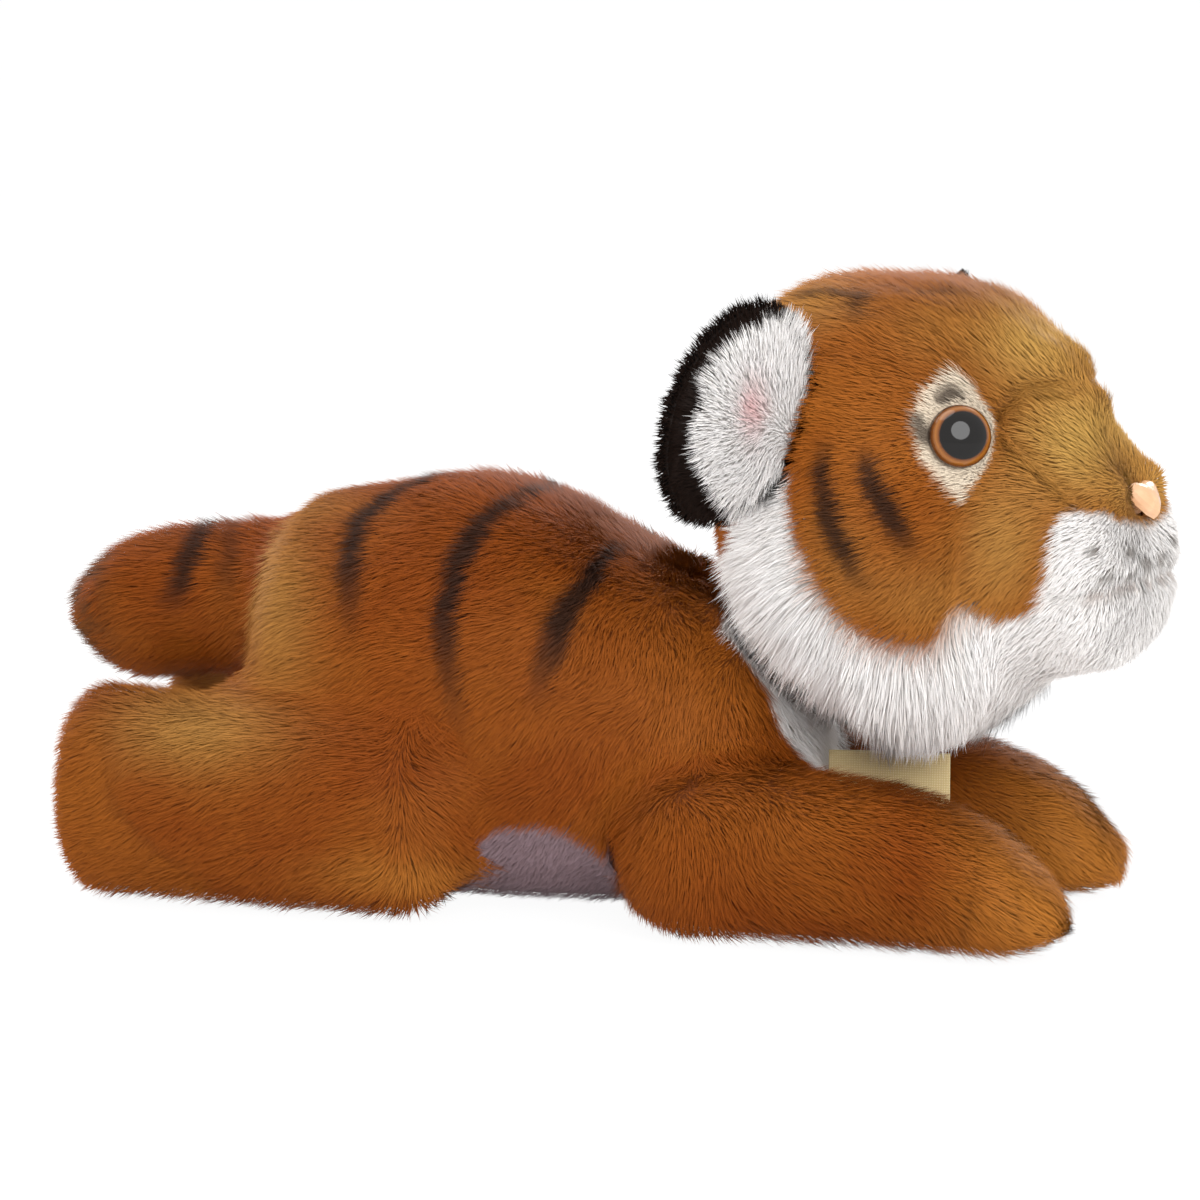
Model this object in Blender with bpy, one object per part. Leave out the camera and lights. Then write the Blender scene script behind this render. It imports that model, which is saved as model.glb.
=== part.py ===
"""A plush tiger lying on its belly with its head turned a little to its right.

The toy faces +X and lies on the plane z = 0. Each limb, the tail, the head and each ear
is a body of its own, turning on the pivot that its sewn root gives it. Every stuffed piece
is a cover, cut from its form and left open at the root, round a filling of its own.
"""

import math

import bmesh
import bpy
from mathutils import Matrix, Vector

# Driving sizes, in metres

SEAM_GAP = 0.0003
OVERRUN = 0.03
FLAT_DEPTH = 0.0005
COVER_THICKNESS = 0.004
FILLING_CLEARANCE = 0.0008
ROUNDNESS = 2.2

TORSO_LENGTH = 0.148
TORSO_WIDTH = 0.092
TORSO_HEIGHT = 0.1075
TORSO_REAR = -0.088
TORSO_FRONT = TORSO_REAR + TORSO_LENGTH
TORSO_RUMP_CAP = 0.015
TORSO_CHEST_CAP = 0.024
BELLY_PANEL_RISE = 0.017
CHEST_PANEL_DEPTH = 0.020
CHEST_PANEL_WIDTH = 0.038
RUMP_PANEL_DEPTH = 0.014

HEAD_TURN = math.radians(16)
HEAD_LENGTH = 0.1142
HEAD_WIDTH = 0.102
HEAD_HEIGHT = 0.1155
HEAD_AHEAD_OF_CHEST = 0.022
HEAD_SEAT_RADIUS = 0.050
HEAD_SEAT_GAP = 0.0006
HEAD_SEAT_REACH = 0.003
HEAD_BEHIND_PIVOT = 0.050
HEAD_BELOW_PIVOT = 0.054
HEAD_REAR_CAP = 0.018
MUZZLE_CAP = 0.010
HEAD_CLEAR_OF_FLOOR = 0.044
HEAD_LEVEL = HEAD_CLEAR_OF_FLOOR + HEAD_BELOW_PIVOT
NECK_HOLE_RADIUS = 0.020
NECK_HEADING = math.radians(-135)
HEAD_BACK_REACH = 0.008

FRONT_LEG_LENGTH = 0.090
FRONT_LEG_WIDTH = 0.040
FRONT_LEG_HEIGHT = 0.044
FRONT_LEG_BEHIND_CHEST = 0.025
FRONT_PAW_CAP = 0.017

HIND_LEG_LENGTH = 0.0895
HIND_LEG_WIDTH = 0.042
HIND_LEG_HEIGHT = 0.055
HIND_LEG_AHEAD_OF_RUMP = 0.048
HIND_FOOT_CAP = 0.010

LEG_SPREAD = 0.036

TAIL_LENGTH = 0.062
TAIL_WIDTH = 0.036
TAIL_HEIGHT = 0.041
TAIL_AHEAD_OF_RUMP = 0.008
TAIL_UNDERSIDE = 0.0525
TAIL_TIP_CAP = 0.018

LEG_SWING = math.radians(15)
TAIL_SWING = math.radians(15)
EAR_SWING = math.radians(10)

LIMB_HOLE_RADIUS = 0.009

EYE_RADIUS = 0.0075
EYE_DOME = 0.0050
EYE_EDGE = 0.0012
EYE_SHANK_RADIUS = 0.0020
EYE_SHANK_LENGTH = 0.0130
EYE_PATCH_RADIUS = 0.0135
EYE_PLACE_SHARES = (0.689, 0.651, 0.7013)
EYE_HEADING = math.radians(48)
EYE_LIFT = math.radians(12)
SOCKET_DEPTH = 0.0040

WASHER_RADIUS = 0.0055
WASHER_THICKNESS = 0.0015

NOSE_RADIUS = 0.0052
NOSE_DOME = 0.0030
NOSE_PLACE_SHARES = (0.970, 0.0, 0.5628)
NOSE_LIFT = math.radians(38)

EAR_LENGTH = 0.057
EAR_REACH = 0.036
EAR_BACK_THICKNESS = 0.0080
EAR_LINING_THICKNESS = 0.0050
EAR_RIM = 0.0060
EAR_CUP = 0.0060
EAR_EDGE_SHARE = 0.25
EAR_ROOT_DEPTH = 0.0030
EAR_PLACE_SHARES = (0.3415, 0.8333, 0.6753)
EAR_LEAN = math.radians(14)
EAR_ROLL = math.radians(22)
EAR_SWEEP = math.radians(38)

PELLET_BAG_LENGTH = 0.060
PELLET_BAG_WIDTH = 0.026
PELLET_BAG_HEIGHT = 0.016
PELLET_BAG_X = -0.008
PELLET_BAG_EDGE = 0.005

LABEL_LENGTH = 0.030
LABEL_HEIGHT = 0.0195
LABEL_THICKNESS = 0.0008
LABEL_UNDERSIDE = 0.0220
LABEL_Y = -0.004
LABEL_HEADING = math.radians(8)

# Outlines, as shares of the sizes above

# along the length, top, underside and widest level by the height, half width by the half width
TORSO_SHARES = (
    (0.00, 0.90, 0.03, 0.46, 0.80),
    (0.09, 0.925, 0.00, 0.46, 0.88),
    (0.24, 0.968, 0.00, 0.46, 0.97),
    (0.39, 0.995, 0.00, 0.46, 1.00),
    (0.53, 0.955, 0.00, 0.45, 0.98),
    (0.66, 0.865, 0.01, 0.42, 0.93),
    (0.80, 0.79, 0.03, 0.39, 0.86),
    (0.90, 0.73, 0.05, 0.37, 0.77),
    (1.00, 0.62, 0.08, 0.35, 0.68),
)
HEAD_SHARES = (
    (0.00, 0.82, 0.30, 0.58, 0.56),
    (0.077, 0.91, 0.23, 0.55, 0.67),
    (0.206, 0.985, 0.11, 0.53, 0.84),
    (0.352, 1.00, 0.035, 0.52, 0.97),
    (0.49, 0.995, 0.00, 0.51, 1.00),
    (0.601, 0.97, 0.05, 0.50, 0.88),
    (0.687, 0.918, 0.12, 0.49, 0.68),
    (0.756, 0.822, 0.17, 0.47, 0.54),
    (0.80, 0.757, 0.18, 0.45, 0.51),
    (0.876, 0.688, 0.20, 0.42, 0.47),
    (0.945, 0.615, 0.22, 0.40, 0.44),
    (1.00, 0.545, 0.27, 0.39, 0.41),
)
# along the length from the pivot, top and underside by the height, half width by the half width
FRONT_LEG_SHARES = (
    (0.00, 1.00, 0.00, 1.00),
    (0.20, 1.00, 0.00, 1.00),
    (0.42, 0.955, 0.00, 0.95),
    (0.62, 0.90, 0.00, 0.93),
    (0.80, 0.74, 0.00, 0.97),
    (0.90, 0.62, 0.00, 0.97),
    (1.00, 0.47, 0.04, 0.88),
)
HIND_LEG_SHARES = (
    (0.00, 1.00, 0.00, 1.00),
    (0.20, 1.00, 0.00, 1.00),
    (0.45, 0.97, 0.01, 0.98),
    (0.70, 0.985, 0.02, 0.95),
    (0.88, 1.00, 0.02, 0.96),
    (1.00, 0.97, 0.05, 0.90),
)
TAIL_SHARES = (
    (0.00, 1.00, 0.00, 1.00),
    (0.20, 0.98, 0.00, 1.00),
    (0.45, 0.94, 0.00, 0.96),
    (0.70, 0.86, 0.04, 0.90),
    (0.88, 0.74, 0.10, 0.82),
    (1.00, 0.64, 0.18, 0.74),
)
# the top edges of the head's white panels, seen from its side, along the length and up the height
RUFF_SHARES = (
    (-0.10, 0.56),
    (0.26, 0.57),
    (0.35, 0.68),
    (0.36, 0.54),
    (0.41, 0.43),
    (0.461, 0.338),
    (0.549, 0.286),
    (0.666, 0.277),
    (0.695, 0.32),
    (0.866, 0.342),
)
MUZZLE_SHARES = (
    (0.869, 0.345),
    (0.90, 0.525),
    (1.20, 0.545),
)
# the sole's inner edge, seen from the leg's side, along the length and up the height
SOLE_SHARES = (
    (0.90, 1.20),
    (0.86, 0.55),
    (0.72, 0.22),
    (0.62, -0.20),
    (1.30, -0.20),
    (1.30, 1.20),
)
# the nose's rounded triangle: width and height by the nose's radius
NOSE_SHARES = (
    (0.00, -1.00),
    (0.42, -0.72),
    (0.88, -0.02),
    (1.12, 0.46),
    (0.98, 0.78),
    (0.50, 0.84),
    (0.00, 0.74),
    (-0.50, 0.84),
    (-0.98, 0.78),
    (-1.12, 0.46),
    (-0.88, -0.02),
    (-0.42, -0.72),
)

# Counts

TORSO_RINGS = 16
HEAD_RINGS = 18
LIMB_RINGS = 9
CAP_RINGS = 4
BODY_POINTS = 26
LIMB_POINTS = 18
LINING_POINTS = 12
LINING_RINGS = 6
HEAD_LINING_RINGS = 8
POCKET_STEPS = 14
SWING_STEPS = 2
TURNED_STEPS = 16
BALL_POINTS = 36
EAR_POINTS = 22
EAR_CIRCLES = 4

# Colours and finish

ORANGE_PLUSH = ("orange_plush", (0.30, 0.095, 0.018, 1.0), 0.85)
WHITE_PLUSH = ("white_plush", (0.78, 0.77, 0.76, 1.0), 0.85)
BLACK_PLUSH = ("black_plush", (0.018, 0.012, 0.009, 1.0), 0.85)
BELLY_PLUSH = ("belly_plush", (0.62, 0.56, 0.60, 1.0), 0.85)
CREAM_PLUSH = ("cream_plush", (0.72, 0.60, 0.46, 1.0), 0.85)
FIBRE = ("polyester_fibre", (0.82, 0.82, 0.80, 1.0), 0.95)
PELLET_CLOTH = ("pellet_cloth", (0.70, 0.70, 0.68, 1.0), 0.90)
EYE_PLASTIC = ("amber_eye_plastic", (0.22, 0.085, 0.018, 1.0), 0.08)
NOSE_PLASTIC = ("pink_nose_plastic", (0.70, 0.38, 0.26, 1.0), 0.25)
WASHER_PLASTIC = ("washer_plastic", (0.75, 0.75, 0.75, 1.0), 0.45)
LABEL_RIBBON = ("label_ribbon", (0.42, 0.37, 0.24, 1.0), 0.75)


def clear_scene():
    for obj in list(bpy.data.objects):
        bpy.data.objects.remove(obj, do_unlink=True)


def material(spec):
    name, colour, roughness = spec
    found = bpy.data.materials.get(name)
    if found:
        return found
    made = bpy.data.materials.new(name)
    made.use_nodes = True
    surface = made.node_tree.nodes["Principled BSDF"]
    surface.inputs["Base Color"].default_value = colour
    surface.inputs["Roughness"].default_value = roughness
    surface.inputs["Metallic"].default_value = 0.0
    return made


def frame(name, parent, place, turn=None):
    """An empty on a body's pivot, turned so that its +X runs along the body."""
    empty = bpy.data.objects.new(name, None)
    bpy.context.scene.collection.objects.link(empty)
    empty.parent = parent
    empty.matrix_local = Matrix.Translation(place) @ (turn or Matrix.Identity(4))
    return empty


def put(name, mesh, parent, spec):
    """A node: a mesh in its body's own frame."""
    obj = bpy.data.objects.new(name, mesh)
    bpy.context.scene.collection.objects.link(obj)
    obj.parent = parent
    if not mesh.materials:
        mesh.materials.append(material(spec))
    for face in mesh.polygons:
        face.use_smooth = len(face.vertices) <= 4
    return obj


def put_cutter(name, mesh, parent):
    obj = bpy.data.objects.new(name, mesh)
    bpy.context.scene.collection.objects.link(obj)
    obj.parent = parent
    obj.hide_render = True
    obj.display_type = "WIRE"
    return obj


def cut(obj, *cutters, keep=False):
    for cutter in cutters:
        modifier = obj.modifiers.new(cutter.name, "BOOLEAN")
        modifier.operation = "INTERSECT" if keep else "DIFFERENCE"
        modifier.object = cutter
        modifier.solver = "EXACT"


def mesh_of(name, points, faces):
    mesh = bpy.data.meshes.new(name)
    mesh.from_pydata(points, [], faces)
    shape = bmesh.new()
    shape.from_mesh(mesh)
    bmesh.ops.recalc_face_normals(shape, faces=shape.faces)
    shape.to_mesh(mesh)
    shape.free()
    return mesh


def skin(name, rings, start=None, end=None):
    """A closed tube through rings of equal count, ending in a point or in a flat face."""
    count = len(rings[0])
    points = [tuple(p) for ring in rings for p in ring]
    faces = []
    for i in range(len(rings) - 1):
        for j in range(count):
            k = (j + 1) % count
            faces.append((i * count + j, i * count + k, (i + 1) * count + k, (i + 1) * count + j))
    last = (len(rings) - 1) * count
    for ring_start, pole in ((0, start), (last, end)):
        if pole is None:
            faces.append(tuple(range(ring_start, ring_start + count)))
            continue
        points.append(tuple(pole))
        for j in range(count):
            faces.append((ring_start + j, ring_start + (j + 1) % count, len(points) - 1))
    return mesh_of(name, points, faces)


def between(rows, x):
    """The row at x, on a smooth curve through the rows."""
    last = len(rows) - 1
    i = next((n for n in range(last) if x <= rows[n + 1][0]), last - 1)
    before, low, high, after = (rows[min(max(n, 0), last)] for n in (i - 1, i, i + 1, i + 2))
    span = high[0] - low[0]
    t = min(max((x - low[0]) / span, 0.0), 1.0)
    found = []
    for k in range(1, len(low)):
        slope_low = (high[k] - before[k]) / (high[0] - before[0]) * span
        slope_high = (after[k] - low[k]) / (after[0] - low[0]) * span
        found.append(
            (2 * t**3 - 3 * t**2 + 1) * low[k]
            + (t**3 - 2 * t**2 + t) * slope_low
            + (3 * t**2 - 2 * t**3) * high[k]
            + (t**3 - t**2) * slope_high
        )
    return found


def rounded(value, power):
    return math.copysign(abs(value) ** (2 / power), value)


def ring_at(x, top, bottom, level, half_width, points, floor):
    """One cross-section: wide at its level, and flat where it would pass the floor.

    No point lies at its very bottom, so the two lowest ones hold a flat strip between them.
    """
    ring = []
    for j in range(points):
        angle = 2 * math.pi * j / points
        across = half_width * rounded(math.cos(angle), ROUNDNESS)
        rise = rounded(math.sin(angle), ROUNDNESS)
        z = level + rise * (top - level if rise > 0 else level - bottom)
        ring.append((x, across, max(z, floor)))
    return ring


def form(name, rows, caps, rings, points, floor, inset=0.0, hole=None):
    """A stuffed form along +X through its rows of x, top, underside, widest level and half width.

    Its ends are rounded over the two caps. With a hole, the first end runs on as a round
    neck of that radius, which opens a cover at its root or fills that opening.
    """
    first, last = rows[0][0] + inset, rows[-1][0] - inset
    rear_cap, front_cap = caps
    quarter = math.pi / 2
    xs = [first + rear_cap * (1 - math.cos(quarter * i / CAP_RINGS)) for i in range(1, CAP_RINGS + 1)]
    middle = (last - front_cap) - (first + rear_cap)
    xs += [first + rear_cap + middle * i / rings for i in range(1, rings)]
    xs += [last - front_cap * (1 - math.cos(quarter * i / CAP_RINGS)) for i in range(CAP_RINGS, 0, -1)]
    sections = []
    for x in xs:
        top, bottom, level, half_width = between(rows, x)
        size = 1.0
        if x < first + rear_cap:
            size = math.sqrt(max(1 - ((first + rear_cap - x) / rear_cap) ** 2, 0))
        elif x > last - front_cap:
            size = math.sqrt(max(1 - ((x - last + front_cap) / front_cap) ** 2, 0))
        up = max(top - level - inset, 0) * size
        down = max(level - bottom - inset, 0) * size
        wide = max(half_width - inset, 0) * size
        if hole and x < first + rear_cap:
            up, down, wide = max(up, hole), max(down, hole), max(wide, hole)
        sections.append((x, level + up, level - down, level, wide))
    level_first, level_last = between(rows, first)[2], between(rows, last)[2]
    start = (first, 0.0, level_first)
    if hole:
        reach = OVERRUN if inset <= COVER_THICKNESS else -COVER_THICKNESS
        sections.insert(0, (first - reach, level_first + hole, level_first - hole, level_first, hole))
        start = None
    outline = [ring_at(*section, points, floor + inset) for section in sections]
    return skin(name, outline, start, (last, 0.0, level_last))


def prism(name, outline, axis, low, high):
    """An outline pulled along an axis: y for one seen from the side, z for one seen from above."""
    place = {
        "y": lambda a, b, c: (a, c, b),
        "z": lambda a, b, c: (a, b, c),
    }[axis]
    ends = [[place(a, b, level) for a, b in outline] for level in (low, high)]
    return skin(name, ends)


def grown(outline, by):
    """The outline with each side moved out by a distance; the outline runs clockwise."""
    corners = [Vector(p) for p in outline]
    count = len(corners)
    made = []
    for i, corner in enumerate(corners):
        along_in = (corner - corners[i - 1]).normalized()
        along_out = (corners[(i + 1) % count] - corner).normalized()
        out_in = Vector((-along_in.y, along_in.x))
        out_out = Vector((-along_out.y, along_out.x))
        miter = (out_in + out_out) / (1 + out_in.dot(out_out))
        made.append(tuple(corner + miter * by))
    return made


def ball(name, radius, place):
    shape = bmesh.new()
    bmesh.ops.create_uvsphere(
        shape,
        u_segments=BALL_POINTS,
        v_segments=BALL_POINTS // 2,
        radius=radius,
        matrix=Matrix.Translation(place),
    )
    mesh = bpy.data.meshes.new(name)
    shape.to_mesh(mesh)
    shape.free()
    return mesh


def turned(name, profile, matrix, steps=TURNED_STEPS):
    """A profile of radius and height turned about z, its ends on the axis, then placed."""
    rings = []
    for radius, height in profile[1:-1]:
        ring = []
        for j in range(steps):
            angle = 2 * math.pi * j / steps
            ring.append(matrix @ Vector((radius * math.cos(angle), radius * math.sin(angle), height)))
        rings.append(ring)
    ends = [matrix @ Vector((0.0, 0.0, profile[n][1])) for n in (0, -1)]
    return skin(name, rings, *ends)


def aim(place, heading, lift, side):
    """A placement whose z points out of the head: heading from straight ahead to its side."""
    out = Vector((
        math.cos(heading) * math.cos(lift),
        side * math.sin(heading) * math.cos(lift),
        math.sin(lift),
    ))
    across = Vector((0.0, 0.0, 1.0)).cross(out).normalized()
    up = out.cross(across)
    turn = Matrix((across, up, out)).transposed().to_4x4()
    return Matrix.Translation(place) @ turn


def rows_of(shares, start, length, base, height, width):
    """Rows in metres from a table of shares; the underside sinks by the depth of the flat."""
    rows = []
    for along, top, bottom, *rest in shares:
        level = rest[0] if len(rest) == 2 else (top + bottom) / 2
        rows.append((
            start + along * length,
            base + top * height,
            base + bottom * height - FLAT_DEPTH,
            base + level * height,
            rest[-1] * width / 2,
        ))
    return rows


# Pockets

def pocket_outline(radius, low, high, reach):
    """Seen from above, in a limb's frame: round its root and open along its swing."""
    outline = []
    left, right = high + math.pi / 2, low + 3 * math.pi / 2
    for i in range(POCKET_STEPS + 1):
        angle = left + (right - left) * i / POCKET_STEPS
        outline.append((radius * math.cos(angle), radius * math.sin(angle)))
    for corner, swing in ((-1, low), (0, high)):
        x, y = outline[-1] if corner else outline[0]
        outline.append((x + reach * math.cos(swing), y + reach * math.sin(swing)))
    return outline


def swept(name, mesh, low, high):
    """The room that a form takes up as it turns about its pivot from low to high."""
    shape = bmesh.new()
    for i in range(SWING_STEPS + 1):
        turn = Matrix.Rotation(low + (high - low) * i / SWING_STEPS, 4, "Z")
        for vertex in mesh.vertices:
            shape.verts.new(turn @ vertex.co)
    made = bmesh.ops.convex_hull(shape, input=shape.verts, use_existing_faces=False)
    inside = {v for v in made["geom_interior"] if isinstance(v, bmesh.types.BMVert)}
    loose = inside | {v for v in shape.verts if not v.link_faces}
    bmesh.ops.delete(shape, geom=list(loose), context="VERTS")
    bmesh.ops.recalc_face_normals(shape, faces=shape.faces)
    pocket = bpy.data.meshes.new(name)
    shape.to_mesh(pocket)
    shape.free()
    return pocket


# Limbs: a cover open at its root round a filling, on a pivot in a pocket of the torso

def make_limb(name, side, place, heading, sizes, shares, caps, swing, open_top=False):
    """One limb. Its frame's origin is on the pivot, level with the underside; +X runs to its tip."""
    length, width, height = sizes
    label = name + {1: "_left", -1: "_right", 0: ""}[side]
    pivot = frame(label + "_pivot", root, place, Matrix.Rotation(heading, 4, "Z"))
    rows = rows_of(shares, 0.0, length, 0.0, height, width)
    floor = -place.z
    radius = width / 2
    rows.insert(0, (-radius, *rows[0][1:]))
    outer = form(label + "_form", rows, (radius, caps), LIMB_RINGS, LIMB_POINTS, floor)
    inner_caps = (radius - COVER_THICKNESS, caps)
    inner = form(
        label + "_hollow", rows, inner_caps, LINING_RINGS, LINING_POINTS, floor,
        COVER_THICKNESS, LIMB_HOLE_RADIUS,
    )
    stuffing = form(
        label + "_stuffing", rows, inner_caps, LINING_RINGS, LINING_POINTS, floor,
        COVER_THICKNESS + FILLING_CLEARANCE, LIMB_HOLE_RADIUS - FILLING_CLEARANCE,
    )
    hollow = put_cutter(label + "_hollow", inner, pivot)
    cover = put(label + "_cover", outer, pivot, ORANGE_PLUSH)
    cut(cover, hollow)
    put(label + "_filling", stuffing, pivot, FIBRE)
    room = form(label + "_room", rows, (radius, caps), LIMB_RINGS, LIMB_POINTS, -OVERRUN, -SEAM_GAP)
    low, high = swing
    pocket = put_cutter(label + "_pocket", swept(label + "_pocket", room, low, high), pivot)
    wide_outline = pocket_outline(radius + 2 * SEAM_GAP, low, high, length)
    top = height + (OVERRUN if open_top else 2 * SEAM_GAP)
    bottom = -2 * SEAM_GAP - FLAT_DEPTH if open_top else -OVERRUN
    wide = prism(label + "_wide_pocket", wide_outline, "z", bottom, top)
    wide = put_cutter(label + "_wide_pocket", wide, pivot)
    return cover, outer, hollow, pivot, pocket, wide


def make_sole(side, leg):
    """The hind foot's own panel, sewn round the end of the leg."""
    cover, outer, hollow, pivot = leg[:4]
    suffix = {1: "left", -1: "right"}[side]
    outline = [(a * HIND_LEG_LENGTH, b * HIND_LEG_HEIGHT) for a, b in SOLE_SHARES]
    around = [tuple(p) for p in reversed(outline)]
    sides = (-HIND_LEG_WIDTH, HIND_LEG_WIDTH)
    tight = prism("sole_region_" + suffix, around, "y", *sides)
    loose = prism("sole_margin_" + suffix, grown(around, SEAM_GAP), "y", *sides)
    tight, loose = (put_cutter(mesh.name, mesh, pivot) for mesh in (tight, loose))
    sole = put("hind_sole_" + suffix, outer, pivot, ORANGE_PLUSH)
    cut(sole, hollow)
    cut(sole, tight, keep=True)
    cut(cover, loose)


def make_limbs():
    """The two front legs, the two hind legs and the tail, and the pockets that they sit in."""
    pockets = []
    for side in (1, -1):
        swing = (0.0, LEG_SWING) if side > 0 else (-LEG_SWING, 0.0)
        front = make_limb(
            "front_leg", side, Vector((TORSO_FRONT - FRONT_LEG_BEHIND_CHEST, side * LEG_SPREAD, 0.0)), 0.0,
            (FRONT_LEG_LENGTH, FRONT_LEG_WIDTH, FRONT_LEG_HEIGHT), FRONT_LEG_SHARES,
            FRONT_PAW_CAP, swing,
        )
        hind = make_limb(
            "hind_leg", side, Vector((TORSO_REAR + HIND_LEG_AHEAD_OF_RUMP, side * LEG_SPREAD, 0.0)), math.pi,
            (HIND_LEG_LENGTH, HIND_LEG_WIDTH, HIND_LEG_HEIGHT), HIND_LEG_SHARES,
            HIND_FOOT_CAP, (-swing[1], -swing[0]),
        )
        make_sole(side, hind)
        pockets += [front[4:], hind[4:]]
    tail = make_limb(
        "tail", 0, Vector((TORSO_REAR + TAIL_AHEAD_OF_RUMP, 0.0, TAIL_UNDERSIDE)), math.pi,
        (TAIL_LENGTH, TAIL_WIDTH, TAIL_HEIGHT), TAIL_SHARES, TAIL_TIP_CAP,
        (-TAIL_SWING, TAIL_SWING), open_top=True,
    )
    pockets.append(tail[4:])
    return pockets


# Torso: a cover, a white panel under the belly and one on the chest, a filling and a bag of pellets

def make_torso(pockets):
    rows = rows_of(TORSO_SHARES, TORSO_REAR, TORSO_LENGTH, 0.0, TORSO_HEIGHT, TORSO_WIDTH)
    caps = (TORSO_RUMP_CAP, TORSO_CHEST_CAP)
    outer = form("torso_form", rows, caps, TORSO_RINGS, BODY_POINTS, 0.0)
    inner = form("torso_hollow", rows, caps, LINING_RINGS, LINING_POINTS, 0.0, COVER_THICKNESS)
    hollow = put_cutter("torso_hollow", inner, root)
    seat_centre = Vector((TORSO_FRONT + HEAD_AHEAD_OF_CHEST, 0.0, HEAD_LEVEL))
    seat = put_cutter("head_seat", ball("head_seat", HEAD_SEAT_RADIUS + HEAD_SEAT_GAP, seat_centre), root)
    tight = [pocket for pocket, _ in pockets]

    wide = TORSO_WIDTH
    rear = TORSO_REAR - OVERRUN
    chest = TORSO_FRONT - CHEST_PANEL_DEPTH
    front = TORSO_FRONT + OVERRUN

    rump = TORSO_REAR + RUMP_PANEL_DEPTH
    tail_seat = TAIL_UNDERSIDE
    belly_outline = [
        (rear, -OVERRUN), (rear, tail_seat), (rump, tail_seat),
        (rump + RUMP_PANEL_DEPTH, BELLY_PANEL_RISE), (front, BELLY_PANEL_RISE), (front, -OVERRUN),
    ]
    chest_outline = [(chest, 0.0), (chest, TORSO_HEIGHT), (front, TORSO_HEIGHT), (front, 0.0)]

    def region(name, outline, half):
        return put_cutter(name, prism(name, outline, "y", -half, half), root)

    half = CHEST_PANEL_WIDTH / 2
    belly_region = region("belly_region", belly_outline, wide)
    belly_margin = region("belly_margin", grown(belly_outline, SEAM_GAP), wide)
    chest_region = region("chest_region", chest_outline, half)
    chest_margin = region("chest_margin", grown(chest_outline, SEAM_GAP), half + SEAM_GAP)

    cover = put("torso_cover", outer, root, ORANGE_PLUSH)
    belly = put("belly_panel", outer.copy(), root, BELLY_PLUSH)
    bib = put("chest_panel", outer.copy(), root, WHITE_PLUSH)
    for obj, spec in ((belly, BELLY_PLUSH), (bib, WHITE_PLUSH)):
        obj.data.materials.clear()
        obj.data.materials.append(material(spec))
    for obj in (cover, belly, bib):
        cut(obj, hollow, seat, *tight)
    cut(cover, belly_margin, chest_margin)
    cut(belly, belly_region, keep=True)
    cut(bib, belly_margin)
    cut(bib, chest_region, keep=True)

    stuffing = form(
        "torso_stuffing", rows, caps, LINING_RINGS, LINING_POINTS, 0.0,
        COVER_THICKNESS + FILLING_CLEARANCE,
    )
    filling = put("torso_filling", stuffing, root, FIBRE)
    loose_seat = ball("filling_seat", HEAD_SEAT_RADIUS + 2 * HEAD_SEAT_GAP, seat_centre)
    cut(filling, put_cutter("filling_seat", loose_seat, root), *(wide for _, wide in pockets))

    def bag_box(name, margin, low, high):
        x = PELLET_BAG_LENGTH / 2 + margin
        y = PELLET_BAG_WIDTH / 2 + margin
        outline = [
            (PELLET_BAG_X - x, -y), (PELLET_BAG_X - x, y),
            (PELLET_BAG_X + x, y), (PELLET_BAG_X + x, -y),
        ]
        return prism(name, outline, "z", low, high)

    bed = COVER_THICKNESS + SEAM_GAP
    bag = put("pellet_bag", bag_box("pellet_bag", 0.0, bed, bed + PELLET_BAG_HEIGHT), root, PELLET_CLOTH)
    soften(bag, PELLET_BAG_EDGE)
    cut(bag, put_cutter("torso_room", stuffing.copy(), root), keep=True)
    room = bag_box("pellet_bag_room", SEAM_GAP, -OVERRUN, bed + PELLET_BAG_HEIGHT + SEAM_GAP)
    cut(filling, put_cutter("pellet_bag_room", room, root))


def soften(obj, width):
    bevel = obj.modifiers.new("soft_edges", "BEVEL")
    bevel.width = width
    bevel.segments = 2


# Label: a bare ribbon sewn into the chest seam, standing forward under the chin

def make_label():
    x = TORSO_FRONT + SEAM_GAP
    place = Vector((x, LABEL_Y, LABEL_UNDERSIDE))
    stand = frame("label_edge", root, place, Matrix.Rotation(LABEL_HEADING, 4, "Z"))
    outline = [(0.0, 0.0), (0.0, LABEL_HEIGHT), (LABEL_LENGTH, LABEL_HEIGHT), (LABEL_LENGTH, 0.0)]
    half = LABEL_THICKNESS / 2
    put("label", prism("label", outline, "y", -half, half), stand, LABEL_RIBBON)


# Head: orange cover, white ruff and muzzle panels and eye patches, cut from one form

def stud_profile(radius, dome, margin):
    """A domed button on a shank, from the shank's end to the dome's top; a margin makes its hole."""
    shank = EYE_SHANK_RADIUS + margin
    profile = [(0.0, -EYE_SHANK_LENGTH - margin), (shank, -EYE_SHANK_LENGTH - margin)]
    profile += [(shank, -EYE_EDGE - margin), (radius + margin, -EYE_EDGE - margin)]
    if margin:
        return profile + [(radius + margin, OVERRUN), (0.0, OVERRUN)]
    profile.append((radius, 0.0))
    for i in range(1, CAP_RINGS):
        angle = math.pi / 2 * i / CAP_RINGS
        profile.append((radius * math.cos(angle), dome * math.sin(angle)))
    return profile + [(0.0, dome)]


def boss_profile():
    """The room that a shank and its washer take up in the filling."""
    end = -EYE_SHANK_LENGTH - 3 * SEAM_GAP
    wide = WASHER_RADIUS + SEAM_GAP
    return [(0.0, end), (wide, end), (wide, OVERRUN), (0.0, OVERRUN)]


def on_head(shares, side):
    """A place in the head's frame: along its length, out over its half width, up its height."""
    along, out, up = shares
    return Vector((
        along * HEAD_LENGTH - HEAD_BEHIND_PIVOT,
        side * out * HEAD_WIDTH / 2,
        up * HEAD_HEIGHT - HEAD_BELOW_PIVOT,
    ))


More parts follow.
